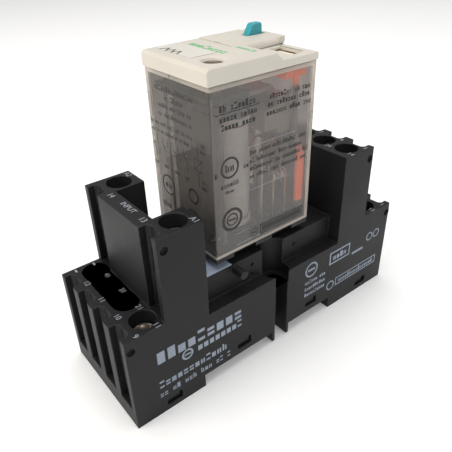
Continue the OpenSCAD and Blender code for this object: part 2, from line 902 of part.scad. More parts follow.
module bobbin() {
    color([0.9, 0.89, 0.84])
        in_relay()
            translate([core_x, 0, 0])
                difference() {
                    union() {
                        translate([0, 0, 32.25])
                            linear_extrude(1.2)
                                stadium(4.3, 7.6);
                        translate([0, 0, flange_top - 1.2])
                            linear_extrude(1.2)
                                stadium(4.3, 7.6);
                        translate([0, 0, 33])
                            linear_extrude(22)
                                stadium(2.6, 5.8);
                    }
                    translate([0, 0, 30])
                        cylinder(r = 2.05, h = 28, $fn = round_fn);
                }
}

module coil_winding() {
    color([0.72, 0.42, 0.22])
        in_relay()
            translate([core_x, 0, 33.5])
                linear_extrude(21)
                    difference() {
                        stadium(3.7, 7);
                        stadium(2.65, 5.85);
                    }
}

module coil_tape() {
    color([0.88, 0.87, 0.85])
        in_relay()
            translate([core_x, 0, 34])
                linear_extrude(20)
                    difference() {
                        stadium(3.95, 7.25);
                        stadium(3.75, 7.05);
                    }
}

// The two wires that join the coil's ends and the board to the coil blades.
module coil_leads() {
    lead_r = 0.3;
    lead_y = 8.7;
    board_under = 60.5;
    color([0.75, 0.45, 0.25])
        in_relay()
            for (s = [-1, 1]) {
                translate([coil_row, s * lead_y, base_top - 0.25])
                    cylinder(r = lead_r, h = board_under - base_top + 0.25, $fn = small_fn);
                translate([coil_row, s * 1.5 * blade_pitch + s * blade_t / 2, base_top - 0.25])
                    rotate([s > 0 ? -90 : 90, 0, 0])
                        cylinder(r = lead_r, h = lead_y - 1.5 * blade_pitch - blade_t / 2, $fn = small_fn);
            }
}

// ---------------------------------------------------------------- relay electronics

module circuit_board() {
    color([0.2, 0.42, 0.25])
        in_relay()
            slab(-11.6, -3, 9, 60.5, 61.3);
}

module indicator_led() {
    color([0.75, 0.85, 0.6])
        in_relay()
            translate([light_hole[0], light_hole[1], 61.3]) {
                cylinder(r = 1.5, h = 3.4, $fn = round_fn);
                translate([0, 0, 3.4])
                    sphere(r = 1.5, $fn = round_fn);
            }
}

module body_on_board(x, y, r, l) {
    in_relay()
        translate([x, y - l / 2, 61.3 + r])
            rotate([-90, 0, 0])
                cylinder(r = r, h = l, $fn = small_fn);
}

module surge_diode() {
    color([0.15, 0.15, 0.15])
        body_on_board(-5, 3, 0.85, 4.6);
}

module series_resistor() {
    color([0.75, 0.62, 0.45])
        body_on_board(-8.4, 3, 0.8, 5);
}

// ---------------------------------------------------------------- relay, moving parts

// The iron plate that the core pulls down.
module armature() {
    plate_under = hinge_z + 0.4;
    color([0.68, 0.68, 0.68])
        in_relay() {
            slab(yoke_x, core_x + 4.4, 6.4, plate_under, plate_under + 1.1);
            translate([hinge_x, 6.4, axis_z])
                rotate([90, 0, 0])
                    cylinder(r = 0.45, h = 12.8, $fn = small_fn);
        }
}

// The moulded block on the armature's free end; the moving springs hang from it.
module contact_carrier() {
    top_z = carrier_top - 0.9;
    color([0.9, 0.87, 0.78])
        in_relay() {
            slab(-0.5, 6, 5.4, top_z, carrier_top);
            slab(4.6, 6.4, 5.4, top_z - 0.7, carrier_top);
            side_profile(
                [
                    [1.6, 51.6], [5, 51.6], [5, spring_top], [8.6, spring_top],
                    [8.6, top_z - 0.6], [4.6, top_z - 0.6], [4.6, 56.2], [1.6, 56.2]
                ],
                8
            );
        }
}

module moving_springs() {
    color([0.82, 0.66, 0.36])
        in_relay()
            for (y = blade_ys)
                box([moving_x - 0.1, y - 1.1, contact_z - 1.5], [moving_x + 0.1, y + 1.1, spring_top]);
}

module moving_contact_tips() {
    half = moving_tip_l / 2;
    color([0.85, 0.85, 0.86])
        in_relay()
            for (y = blade_ys)
                for (s = [-1, 1])
                    translate([moving_x + (s > 0 ? 0.1 : -half), y, contact_z])
                        rotate([0, 90, 0])
                            cylinder(r = 0.95, h = half - 0.1, $fn = small_fn);
}

// Braided leads from the common posts to the moving springs.
module lead_wires() {
    steps = 12;
    start_x = com_post_x + post_t + 0.4;
    end_lead_x = moving_x - 0.55;
    lead_z = 46;
    rise = 1.6;
    color([0.7, 0.42, 0.25])
        in_relay()
            for (y = blade_ys)
                swept_wire(
                    [
                        for (i = [0 : steps])
                            let (t = i / steps)
                                [
                                    start_x + (end_lead_x - start_x) * t,
                                    y,
                                    lead_z + 1.5 * t + rise * sin(180 * t)
                                ]
                    ],
                    0.32
                );
}

// The return spring stands on the bobbin and lifts the armature.
module return_spring() {
    color([0.72, 0.72, 0.74])
        in_relay()
            translate([core_x, 5.2, flange_top])
                coil_spring(0.9, 0.12, hinge_z + 0.38 - flange_top, 4);
}

// The test button: a tall fin with a sloping front, on a flange below the cover's roof.
module test_button() {
    color([0.19, 0.61, 0.65])
        in_relay() {
            translate([0, 5.8, 0])
                rotate([90, 0, 0])
                    linear_extrude(1.8)
                        polygon([
                            [8.1, 63.2], [11.9, 63.2], [11.9, 68.9], [11.75, 69.4], [11.5, 69.5],
                            [9.7, 69.5], [9.3, 69.3], [8.1, 67.4]
                        ]);
            box([7.5, 3.2, 62.6], [12.15, 6.6, 63.25]);
        }
}

// The orange lever below the button: a plate across the relay with two cranked arms hanging down.
module test_lever() {
    plate_z = carrier_top + button_travel + 0.1;
    color([0.93, 0.42, 0.2])
        in_relay() {
            slab(6.4, 12, 8.6, plate_z, 62.6);
            both_sides()
                translate([0, 9.2, 0])
                    rotate([90, 0, 0])
                        linear_extrude(0.8)
                            polygon([
                                [10, 33.5], [12.1, 33.5], [12.1, 44.8], [9.6, 50],
                                [9.4, 62.6], [8.3, 62.6], [8.3, 49.6], [10, 45.4]
                            ]);
        }
}

module status_flag() {
    color([0.93, 0.9, 0.82])
        in_relay()
            box([8.7, -8.4, 64.35], [11.2, -2, 64.85]);
}

// The lift-up door around the button. It turns on two stub pins near the +X end.
module locking_door() {
    half_w2 = cap_w / 2;
    knuckle_r = 0.74;
    shoulder = 1.2;
    end_x2 = 13.45;
    color([0.91, 0.88, 0.81])
        in_relay()
            difference() {
                union() {
                    // Plate with a rounded edge towards -Y
                    translate([door_x0, 0, 0])
                        rotate([90, 0, 90])
                            linear_extrude(door_pin_x - door_x0)
                                union() {
                                    polygon([
                                        [-1.2, door_under], [half_w2, door_under], [half_w2, door_top],
                                        [0, door_top], [-0.65, door_top - 0.4], [-1.05, door_top - 0.9]
                                    ]);
                                }
                    // Rounded end around the pins
                    translate([0, half_w2, 0])
                        rotate([90, 0, 0])
                            linear_extrude(half_w2 + shoulder)
                                union() {
                                    translate([door_pin_x, door_pin_z])
                                        circle(r = knuckle_r, $fn = round_fn);
                                    translate([door_pin_x - knuckle_r, door_pin_z])
                                        square([end_x2 - door_pin_x + knuckle_r, door_top - door_pin_z]);
                                }
                }
                box([7.75, 3.8, 60], [door_pin_x, 6, 70]);
                // Room for the cap's ears
                for (e = ear_ys)
                    box([door_pin_x - 1.6, e[0] - 0.1, 60], [14, e[1] + 0.1, 70]);
                // Finger notch at the free edge
                translate([door_x0 - 1.4, 4.6, 60])
                    cylinder(r = 1.9, h = 10, $fn = round_fn);
            }
    color([0.91, 0.88, 0.81])
        in_relay()
            translate([door_pin_x, 10.45, door_pin_z])
                rotate([90, 0, 0])
                    cylinder(r = door_pin_r, h = 4, $fn = round_fn);
}

socket_housing();
coil_base_cover();
contact_base_cover();
wiring_label();
rail_clip();
rail_clip_spring();
com_screws();
coil_screws();
no_screws();
nc_screws();
com_clamp_plates();
coil_clamp_plates();
no_clamp_plates();
nc_clamp_plates();
com_busbars();
coil_busbars();
no_busbars();
nc_busbars();
relay_base();
clear_cover();
relay_cap();
marking_label();
coil_blades();
com_blades();
no_blades();
nc_blades();
yoke();
coil_core();
bobbin();
coil_winding();
coil_tape();
coil_leads();
no_contact_tips();
nc_contact_tips();
lead_wires();
circuit_board();
indicator_led();
surge_diode();
series_resistor();
armature();
contact_carrier();
moving_springs();
moving_contact_tips();
return_spring();
test_button();
test_lever();
status_flag();
locking_door();
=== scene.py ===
import json
import math
import random

import bmesh
import bpy
from mathutils import Matrix, Vector
from mathutils.bvhtree import BVHTree


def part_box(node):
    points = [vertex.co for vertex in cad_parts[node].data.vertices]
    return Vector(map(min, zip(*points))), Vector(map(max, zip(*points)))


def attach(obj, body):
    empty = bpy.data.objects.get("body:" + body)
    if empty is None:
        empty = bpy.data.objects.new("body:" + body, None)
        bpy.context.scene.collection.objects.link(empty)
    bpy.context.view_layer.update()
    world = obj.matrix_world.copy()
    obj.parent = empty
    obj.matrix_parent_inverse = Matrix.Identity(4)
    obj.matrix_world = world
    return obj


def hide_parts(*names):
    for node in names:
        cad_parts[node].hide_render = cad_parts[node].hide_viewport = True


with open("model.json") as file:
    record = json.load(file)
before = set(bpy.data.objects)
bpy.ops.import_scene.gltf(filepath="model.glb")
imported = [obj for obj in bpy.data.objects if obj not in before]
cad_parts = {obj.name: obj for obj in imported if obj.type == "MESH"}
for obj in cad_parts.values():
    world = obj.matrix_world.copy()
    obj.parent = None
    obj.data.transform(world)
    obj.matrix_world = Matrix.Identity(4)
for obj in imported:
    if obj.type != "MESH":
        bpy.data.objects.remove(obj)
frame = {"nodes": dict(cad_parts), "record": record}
nodes = frame["nodes"]
body_of = {n: b for b, names in frame["record"]["behaviour"]["bodies"].items() for n in names}
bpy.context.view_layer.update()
mm = 0.001

# ---- Socket housing
# One deep moulding of black glass-filled polyamide, with four terminal tiers. The tool's spark
# eroded walls leave a fine grain, and its corners come out slightly rounded and rub pale.


def shader_group(name, inputs, outputs):
    """A shader node group with named sockets; it returns the group and its two end nodes."""
    group = bpy.data.node_groups.new(name, "ShaderNodeTree")
    for socket, kind, value in inputs:
        made = group.interface.new_socket(socket, in_out="INPUT", socket_type=kind)
        made.default_value = value
    for socket, kind in outputs:
        group.interface.new_socket(socket, in_out="OUTPUT", socket_type=kind)
    return group, group.nodes.new("NodeGroupInput"), group.nodes.new("NodeGroupOutput")


def add_node(tree, kind, settings=None, **sockets):
    """A node with its settings and sockets filled; a socket's value is a number or another socket."""
    made = tree.nodes.new(kind)
    for key, value in (settings or {}).items():
        setattr(made, key, value)
    for key, value in sockets.items():
        numbered = key[0] == "i" and key[1:].isdigit()
        socket = made.inputs[int(key[1:]) if numbered else key.replace("_", " ")]
        if isinstance(value, bpy.types.NodeSocket):
            tree.links.new(value, socket)
        else:
            socket.default_value = value
    return made


def reckon(tree, operation, *values):
    """A sum on numbers or sockets; it returns the result's socket."""
    sockets = {f"i{k}": value for k, value in enumerate(values)}
    return add_node(tree, "ShaderNodeMath", {"operation": operation}, **sockets).outputs[0]


def ramp(tree, value, start, end, low=0.0, high=1.0, **settings):
    """A value run from start..end to low..high; it returns the result's socket."""
    made = add_node(
        tree, "ShaderNodeMapRange", settings,
        Value=value, From_Min=start, From_Max=end, To_Min=low, To_Max=high,
    )
    return made.outputs[0]


def blend_colours(tree, share, first, second):
    """A colour mix whose share, first and second colours are values or sockets."""
    mix = tree.nodes.new("ShaderNodeMix")
    mix.data_type = "RGBA"
    for index, value in ((0, share), (6, first), (7, second)):
        if isinstance(value, bpy.types.NodeSocket):
            tree.links.new(value, mix.inputs[index])
        else:
            mix.inputs[index].default_value = value
    return mix.outputs[2]


moulded, g_in, g_out = shader_group(
    "moulded surface",
    [
        ("Colour", "NodeSocketColor", (0.5, 0.5, 0.5, 1)),
        ("Worn colour", "NodeSocketColor", (0.7, 0.7, 0.7, 1)),
        ("Wear", "NodeSocketFloat", 0.5),
        ("Mottle", "NodeSocketFloat", 0.1),
        ("Grain scale", "NodeSocketFloat", 3500.0),
        ("Roughness", "NodeSocketFloat", 0.5),
        ("Dust", "NodeSocketFloat", 0.3),
    ],
    [("Colour", "NodeSocketColor"), ("Roughness", "NodeSocketFloat"), ("Height", "NodeSocketFloat")],
)
place = add_node(moulded, "ShaderNodeTexCoord").outputs["Object"]
broad = add_node(moulded, "ShaderNodeTexNoise", Vector=place, Scale=90.0, Detail=3.0)
grain = add_node(moulded, "ShaderNodeTexNoise", Vector=place, Scale=g_in.outputs["Grain scale"], Detail=2.0)
chips = add_node(moulded, "ShaderNodeTexNoise", Vector=place, Scale=900.0, Detail=4.0, Roughness=0.7)
specks = add_node(moulded, "ShaderNodeTexVoronoi", Vector=place, Scale=620.0)
shade = ramp(moulded, broad.outputs["Fac"], 0.3, 0.7, -1.0, 1.0)
depth = reckon(moulded, "MULTIPLY", shade, g_in.outputs["Mottle"])
gain = reckon(moulded, "ADD", depth, 1.0)
tinted = add_node(
    moulded, "ShaderNodeVectorMath", {"operation": "SCALE"}, i0=g_in.outputs["Colour"], Scale=gain,
)
edge = add_node(moulded, "ShaderNodeAttribute", {"attribute_name": "edge_wear"})
chipped = ramp(moulded, chips.outputs["Fac"], 0.42, 0.62)
rubbed = reckon(moulded, "MULTIPLY", edge.outputs["Fac"], chipped)
worn = reckon(moulded, "MULTIPLY", rubbed, g_in.outputs["Wear"])
near_speck = ramp(moulded, specks.outputs["Distance"], 0.05, 0.09, 1.0, 0.0)
few = ramp(moulded, specks.outputs["Color"], 0.86, 0.9)
speck = reckon(moulded, "MULTIPLY", near_speck, few)
dusty = reckon(moulded, "MULTIPLY", speck, g_in.outputs["Dust"])
dust_grey = (0.62, 0.6, 0.56, 1)
colour = blend_colours(moulded, worn, tinted.outputs[0], g_in.outputs["Worn colour"])
colour = blend_colours(moulded, dusty, colour, dust_grey)
matt = reckon(moulded, "MULTIPLY_ADD", shade, 0.05, g_in.outputs["Roughness"])
moulded.links.new(colour, g_out.inputs["Colour"])
moulded.links.new(matt, g_out.inputs["Roughness"])
moulded.links.new(grain.outputs["Fac"], g_out.inputs["Height"])


def plastic(
    name, colour, worn_colour, roughness, grain_depth,
    grain_scale=3500.0, wear=0.5, mottle=0.1, dust=0.3, glow=0.0, shine=0.5,
):
    """A moulded plastic: colour, rubbed edges, dust and grain from the group, gloss from the shader."""
    made = bpy.data.materials.new(name)
    made.use_nodes = True
    tree = made.node_tree
    shader = tree.nodes["Principled BSDF"]
    surface = add_node(
        tree, "ShaderNodeGroup", {"node_tree": moulded}, Colour=(*colour, 1), Worn_colour=(*worn_colour, 1),
        Wear=wear, Mottle=mottle, Grain_scale=grain_scale, Roughness=roughness, Dust=dust,
    )
    grain_size = 0.04 * mm
    height = surface.outputs["Height"]
    bump = add_node(tree, "ShaderNodeBump", Height=height, Strength=grain_depth, Distance=grain_size)
    tree.links.new(surface.outputs["Colour"], shader.inputs["Base Color"])
    tree.links.new(surface.outputs["Roughness"], shader.inputs["Roughness"])
    tree.links.new(bump.outputs["Normal"], shader.inputs["Normal"])
    shader.inputs["Specular IOR Level"].default_value = shine
    if glow:
        shader.inputs["Subsurface Weight"].default_value = glow
        shader.inputs["Subsurface Radius"].default_value = (0.0012, 0.0009, 0.0006)
        shader.inputs["Subsurface Scale"].default_value = 1.0
    return made


def show(piece):
    bpy.context.scene.collection.objects.link(piece)
    return piece


def baked(piece):
    """The piece's mesh with its modifiers applied."""
    bpy.context.view_layer.update()
    seen = piece.evaluated_get(bpy.context.evaluated_depsgraph_get())
    mesh = bpy.data.meshes.new_from_object(seen)
    piece.modifiers.clear()
    old = piece.data
    piece.data = mesh
    bpy.data.meshes.remove(old)
    return piece


def soften(name, radius, material, slot, segments=2, join=0.02, sharp=40):
    """A copy of a CAD node with rounded edges; the rounded strips carry the edge_wear mask.

    Edges flatter than coarse are left alone, and a point thrown off the node's skin goes back to it.
    """
    flat, coarse, stray = math.radians(0.6), math.radians(32), 0.55 * radius * mm
    work = bmesh.new()
    work.from_mesh(nodes[name].data)
    bmesh.ops.remove_doubles(work, verts=work.verts, dist=join * mm)
    bmesh.ops.dissolve_limit(work, angle_limit=flat, verts=work.verts, edges=work.edges)
    mesh = bpy.data.meshes.new(name + "_finished")
    work.to_mesh(mesh)
    work.free()
    piece = show(bpy.data.objects.new(name + "_finished", mesh))
    mesh.materials.append(material)
    mesh.materials.append(material)
    for face in mesh.polygons:
        face.use_smooth = True
        face.material_index = 0
    if radius:
        round_off = piece.modifiers.new("round", "BEVEL")
        round_off.width = radius * mm
        round_off.segments = segments
        round_off.limit_method = "ANGLE"
        round_off.angle_limit = coarse
        round_off.use_clamp_overlap = False
        round_off.material = 1
        baked(piece)
        exact = bmesh.new()
        exact.from_mesh(nodes[name].data)
        skin = BVHTree.FromBMesh(exact)
        exact.free()
        for point in piece.data.vertices:
            spot, _, _, gap = skin.find_nearest(point.co)
            if gap > stray:
                point.co = spot
    piece.data.set_sharp_from_angle(angle=math.radians(sharp))
    even = piece.modifiers.new("even", "WEIGHTED_NORMAL")
    even.keep_sharp = True
    baked(piece)
    mesh = piece.data
    mask = mesh.attributes.new("edge_wear", "FLOAT", "FACE")
    mask.data.foreach_set("value", [float(f.material_index == 1) for f in mesh.polygons])
    mesh.polygons.foreach_set("material_index", [0] * len(mesh.polygons))
    mesh.materials.pop(index=1)
    return settle(piece, slot, name)


def settle(piece, slot, *names, body=None):
    """The piece rides on its CAD node's body, and stands for the CAD nodes named."""
    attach(piece, body or body_of[names[0]])
    if names:
        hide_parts(*names)
    return piece


black_moulding = plastic(
    "black polyamide", (0.011, 0.011, 0.0125), (0.07, 0.07, 0.07), 0.5, 0.35,
    wear=0.35, mottle=0.15, dust=0.4, shine=0.23,
)
soften("socket_housing", 0.16, black_moulding, "socket_plastic")

# ---- Base covers and rail clip
# Two plates snap into the housing from below and close its chambers. The rail clip slides in the
# contact half's channel; all three are the housing's polyamide, moulded a little smoother.
cover_moulding = plastic(
    "black polyamide, smooth", (0.01, 0.01, 0.011), (0.06, 0.06, 0.06), 0.42, 0.2,
    wear=0.4, dust=0.4, shine=0.3,
)
soften("coil_base_cover", 0.1, cover_moulding, "base_plastic")
soften("contact_base_cover", 0.1, cover_moulding, "base_plastic")
soften("rail_clip", 0.12, cover_moulding, "base_plastic")

# ---- Springs
# Cold-drawn spring wire, wound in open turns: one pushes the rail clip in, the other lifts the
# armature off the core.
drawn, g_in, g_out = shader_group(
    "drawn metal",
    [
        ("Colour", "NodeSocketColor", (0.6, 0.6, 0.6, 1)),
        ("Tarnish", "NodeSocketColor", (0.3, 0.28, 0.25, 1)),
        ("Tarnish share", "NodeSocketFloat", 0.3),
        ("Roughness", "NodeSocketFloat", 0.3),
        ("Stretch", "NodeSocketVector", (1.0, 1.0, 1.0)),
    ],
    [("Colour", "NodeSocketColor"), ("Roughness", "NodeSocketFloat"), ("Height", "NodeSocketFloat")],
)
place = add_node(drawn, "ShaderNodeTexCoord").outputs["Object"]
pulled = g_in.outputs["Stretch"]
along = add_node(drawn, "ShaderNodeVectorMath", {"operation": "MULTIPLY"}, i0=place, i1=pulled)
lines = add_node(drawn, "ShaderNodeTexNoise", Vector=along.outputs[0], Scale=5000.0, Detail=2.0)
stains = add_node(drawn, "ShaderNodeTexNoise", Vector=place, Scale=700.0, Detail=4.0, Roughness=0.65)
stained = ramp(drawn, stains.outputs["Fac"], 0.45, 0.7)
share = reckon(drawn, "MULTIPLY", stained, g_in.outputs["Tarnish share"])
colour = blend_colours(drawn, share, g_in.outputs["Colour"], g_in.outputs["Tarnish"])
rougher = reckon(drawn, "MULTIPLY_ADD", share, 0.3, g_in.outputs["Roughness"])
drawn.links.new(colour, g_out.inputs["Colour"])
drawn.links.new(rougher, g_out.inputs["Roughness"])
drawn.links.new(lines.outputs["Fac"], g_out.inputs["Height"])


def metal(name, colour, tarnish, share, roughness, stretch=(1, 1, 1), depth=0.25, solid=1.0):
    """A bare or plated metal with drawing lines along one axis and patches of tarnish."""
    made = bpy.data.materials.new(name)
    made.use_nodes = True
    tree = made.node_tree
    shader = tree.nodes["Principled BSDF"]
    shader.inputs["Metallic"].default_value = solid
    surface = add_node(
        tree, "ShaderNodeGroup", {"node_tree": drawn}, Colour=(*colour, 1), Tarnish=(*tarnish, 1),
        Tarnish_share=share, Roughness=roughness, Stretch=stretch,
    )
    line_size = 0.02 * mm
    height = surface.outputs["Height"]
    bump = add_node(tree, "ShaderNodeBump", Height=height, Strength=depth, Distance=line_size)
    tree.links.new(surface.outputs["Colour"], shader.inputs["Base Color"])
    tree.links.new(surface.outputs["Roughness"], shader.inputs["Roughness"])
    tree.links.new(bump.outputs["Normal"], shader.inputs["Normal"])
    return made


def geometry_tree(name, inputs):
    """A geometry node tree with named inputs; it returns the tree, its end nodes and socket ids."""
    tree = bpy.data.node_groups.new(name, "GeometryNodeTree")
    tree.interface.new_socket("Geometry", in_out="INPUT", socket_type="NodeSocketGeometry")
    ids = {}
    for socket, kind in inputs:
        ids[socket] = tree.interface.new_socket(socket, in_out="INPUT", socket_type=kind).identifier
    tree.interface.new_socket("Geometry", in_out="OUTPUT", socket_type="NodeSocketGeometry")
    return tree, tree.nodes.new("NodeGroupInput"), tree.nodes.new("NodeGroupOutput"), ids


def grow(piece, tree, ids, **values):
    """Runs a tree on the piece with these input values and keeps the mesh."""
    run = piece.modifiers.new("grow", "NODES")
    run.node_group = tree
    for key, value in values.items():
        run[ids[key.replace("_", " ")]] = value
    return baked(piece)


wound, g_in, g_out, wound_ids = geometry_tree(
    "wound wire",
    [
        ("Radius", "NodeSocketFloat"), ("Height", "NodeSocketFloat"), ("Turns", "NodeSocketFloat"),
        ("Wire radius", "NodeSocketFloat"), ("Straight", "NodeSocketFloat"), ("Finish", "NodeSocketMaterial"),
    ],
)
spiral = add_node(
    wound, "GeometryNodeCurveSpiral", Resolution=28, Rotations=g_in.outputs["Turns"],
    Start_Radius=g_in.outputs["Radius"], End_Radius=g_in.outputs["Radius"], Height=g_in.outputs["Height"],
)
position = add_node(wound, "GeometryNodeInputPosition")
spot = add_node(wound, "ShaderNodeSeparateXYZ", Vector=position.outputs[0])
side = reckon(wound, "SIGN", spot.outputs["Y"])
shift = reckon(wound, "MULTIPLY", side, g_in.outputs["Straight"])
apart = add_node(wound, "ShaderNodeCombineXYZ", Y=shift)
moved = add_node(wound, "GeometryNodeSetPosition", Geometry=spiral.outputs[0], Offset=apart.outputs[0])
ring = add_node(wound, "GeometryNodeCurvePrimitiveCircle", Resolution=8, Radius=g_in.outputs["Wire radius"])
tube = add_node(
    wound, "GeometryNodeCurveToMesh", Curve=moved.outputs[0], Profile_Curve=ring.outputs[0], Fill_Caps=True,
)
smooth = add_node(wound, "GeometryNodeSetShadeSmooth", Geometry=tube.outputs[0])
solid = add_node(wound, "GeometryNodeRealizeInstances", Geometry=smooth.outputs[0])
finish = g_in.outputs["Finish"]
dressed = add_node(wound, "GeometryNodeSetMaterial", Geometry=solid.outputs[0], Material=finish)
wound.links.new(dressed.outputs[0], g_out.inputs[0])


def wind(name, radius, height, turns, wire, finish, turn_to, straight=0.0):
    """A wound wire along Z, then put in its place by the matrix."""
    piece = show(bpy.data.objects.new(name, bpy.data.meshes.new(name)))
    grow(
        piece, wound, wound_ids, Radius=radius, Height=height, Turns=turns,
        Wire_radius=wire, Straight=straight, Finish=finish,
    )
    piece.data.transform(turn_to)
    work = bmesh.new()
    work.from_mesh(piece.data)
    bmesh.ops.recalc_face_normals(work, faces=work.faces)
    work.to_mesh(piece.data)
    work.free()
    return piece


spring_wire = metal("spring wire", (0.62, 0.62, 0.6), (0.32, 0.3, 0.27), 0.3, 0.28)
low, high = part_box("rail_clip_spring")
middle = (low + high) / 2
wire = 0.15 * mm
turn_x = Matrix.Translation((low.x + wire, middle.y, middle.z)) @ Matrix.Rotation(math.radians(90), 4, "Y")
settle(
    wind("rail_clip_spring_wound", 0.7 * mm, high.x - low.x - 2 * wire, 7.0, wire, spring_wire, turn_x),
    "spring_metal", "rail_clip_spring",
)
low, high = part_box("return_spring")
middle = (low + high) / 2
wire = 0.12 * mm
settle(
    wind(
        "return_spring_wound", 0.9 * mm, high.z - low.z - 2 * wire, 4.0, wire, spring_wire,
        Matrix.Translation((middle.x, middle.y, low.z + wire)),
    ),
    "spring_steel", "return_spring",
)

# ---- Terminal screws and clamp plates
# Zinc-plated steel screws with combination heads, threaded through square pressure plates. The
# heads sit deep in the wells.
repeated, g_in, g_out, repeated_ids = geometry_tree(
    "repeated in a row",
    [
        ("Count", "NodeSocketInt"), ("Start", "NodeSocketVector"), ("Step", "NodeSocketVector"),
        ("Turn", "NodeSocketFloat"), ("Finish", "NodeSocketMaterial"),
    ],
)
stations = add_node(
    repeated, "GeometryNodeMeshLine", Count=g_in.outputs["Count"],
    Start_Location=g_in.outputs["Start"], Offset=g_in.outputs["Step"],
)
number = add_node(repeated, "GeometryNodeInputIndex")
angle = reckon(repeated, "MULTIPLY", number.outputs[0], g_in.outputs["Turn"])
twist = add_node(repeated, "ShaderNodeCombineXYZ", Z=angle)
copies = add_node(
    repeated, "GeometryNodeInstanceOnPoints", Points=stations.outputs[0],
    Instance=g_in.outputs["Geometry"], Rotation=twist.outputs[0],
)
solid = add_node(repeated, "GeometryNodeRealizeInstances", Geometry=copies.outputs[0])
finish = g_in.outputs["Finish"]
dressed = add_node(repeated, "GeometryNodeSetMaterial", Geometry=solid.outputs[0], Material=finish)
repeated.links.new(dressed.outputs[0], g_out.inputs[0])


def turned(profile):
    """A closed solid turned about Z from (radius, height) points in mm, bottom to top."""
    sides = 40
    work = bmesh.new()
    angles = [2 * math.pi * k / sides for k in range(sides)]
    rings = []
    for r, z in profile:
        rings.append([work.verts.new((r * mm * math.cos(a), r * mm * math.sin(a), z * mm)) for a in angles])
    for a, b in zip(rings, rings[1:]):
        for k in range(sides):
            n = (k + 1) % sides
            work.faces.new((a[k], a[n], b[n], b[k]))
    work.faces.new(list(reversed(rings[0])))
    work.faces.new(rings[-1])
    return work


def as_piece(name, work):
    """A linked object from a bmesh, smooth except at edges sharper than this angle."""
    smooth_under = 35
    mesh = bpy.data.meshes.new(name)
    work.to_mesh(mesh)
    work.free()
    for face in mesh.polygons:
        face.use_smooth = True
    mesh.set_sharp_from_angle(angle=math.radians(smooth_under))
    return show(bpy.data.objects.new(name, mesh))


def cut_away(piece, cutter):
    """Takes the cutter's shape out of the piece, and removes the cutter."""
    cut = piece.modifiers.new("cut", "BOOLEAN")
    cut.object = cutter
    cut.solver = "EXACT"
    cut.use_self = True
    baked(piece)
    bpy.data.objects.remove(cutter)


zinc = metal(
    "zinc-plated steel", (0.5, 0.455, 0.4), (0.2, 0.15, 0.1), 0.85, 0.36, (1, 1, 0.15), 0.6, solid=0.85
)
plated = metal("plated steel", (0.66, 0.63, 0.56), (0.3, 0.24, 0.18), 0.5, 0.34, (1, 0.15, 1), 0.3)
head_r, head_h, shank_r, shank_l = 2.5, 1.6, 1.4, 6.4
thread_pitch, thread_depth = 0.25, 0.14
slot_l, slot_w, slot_depth = 3.75, 0.75, 1.0
slot_turn, turn_apart = 25, 0.62
tip_z, collar_z = -head_h - shank_l, -head_h - 0.05
profile = [(0.5, tip_z), (shank_r - 0.25, tip_z + 0.35)]
for k in range(2, int(shank_l / thread_pitch)):
    profile.append((shank_r - thread_depth * (k % 2), tip_z + k * thread_pitch))
profile += [
    (shank_r - thread_depth, collar_z), (head_r - 0.2, -head_h), (head_r, -head_h + 0.2),
    (head_r, -0.5), (head_r - 0.12, -0.22), (head_r - 0.45, -0.02), (head_r - 0.9, 0.0),
]
clamp_pitch, coil_pitch = 6.7, 20.4
for row, count, pitch in (
    ("com", 4, clamp_pitch), ("coil", 2, coil_pitch), ("no", 4, clamp_pitch), ("nc", 4, clamp_pitch),
):
    low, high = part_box(row + "_screws")
    start = Vector(((low.x + high.x) / 2, low.y + head_r * mm, high.z))
    screw = as_piece(row + "_screws_turned", turned(profile))
    slots = bmesh.new()
    for turn in (slot_turn, slot_turn + 90):
        reach = Matrix.Diagonal((slot_l * mm, slot_w * mm, 2 * slot_depth * mm, 1))
        bmesh.ops.create_cube(slots, size=1, matrix=Matrix.Rotation(math.radians(turn), 4, "Z") @ reach)
    cutter = as_piece("slot_cutter", slots)
    cut_away(screw, cutter)
    grow(
        screw, repeated, repeated_ids, Count=count, Start=start, Step=(0, pitch * mm, 0),
        Turn=turn_apart, Finish=zinc,
    )
    settle(screw, "screw_steel", row + "_screws")
    soften(row + "_clamp_plates", 0.12, plated, "clamp_steel")

# ---- Busbars
# Blanked and bent brass strips that run inside the housing, from the screws to the forks that grip
# the relay's blades.
brass = metal("brass strip", (0.6, 0.47, 0.28), (0.34, 0.23, 0.13), 0.4, 0.32, (0.15, 1, 1), 0.2)
for row in ("com", "coil", "no", "nc"):
    soften(row + "_busbars", 0.06, brass, "bar_brass")

# ---- Relay base and blades
# A black moulding carries the tinned blades; its tabs click below the clear cover.
relay_moulding = plastic(
    "black relay base", (0.012, 0.012, 0.013), (0.06, 0.06, 0.06), 0.45, 0.25,
    wear=0.4, dust=0.2, shine=0.3,
)
soften("relay_base", 0.12, relay_moulding, "relay_black")
tinned = metal("tinned blade", (0.72, 0.71, 0.67), (0.4, 0.38, 0.34), 0.35, 0.3, (1, 1, 0.12), 0.25)
for row in ("coil", "com"):
    soften(row + "_blades", 0.06, tinned, "blade_metal")
for row in ("no", "nc"):
    soften(row + "_blades", 0.06, brass, "blade_metal")

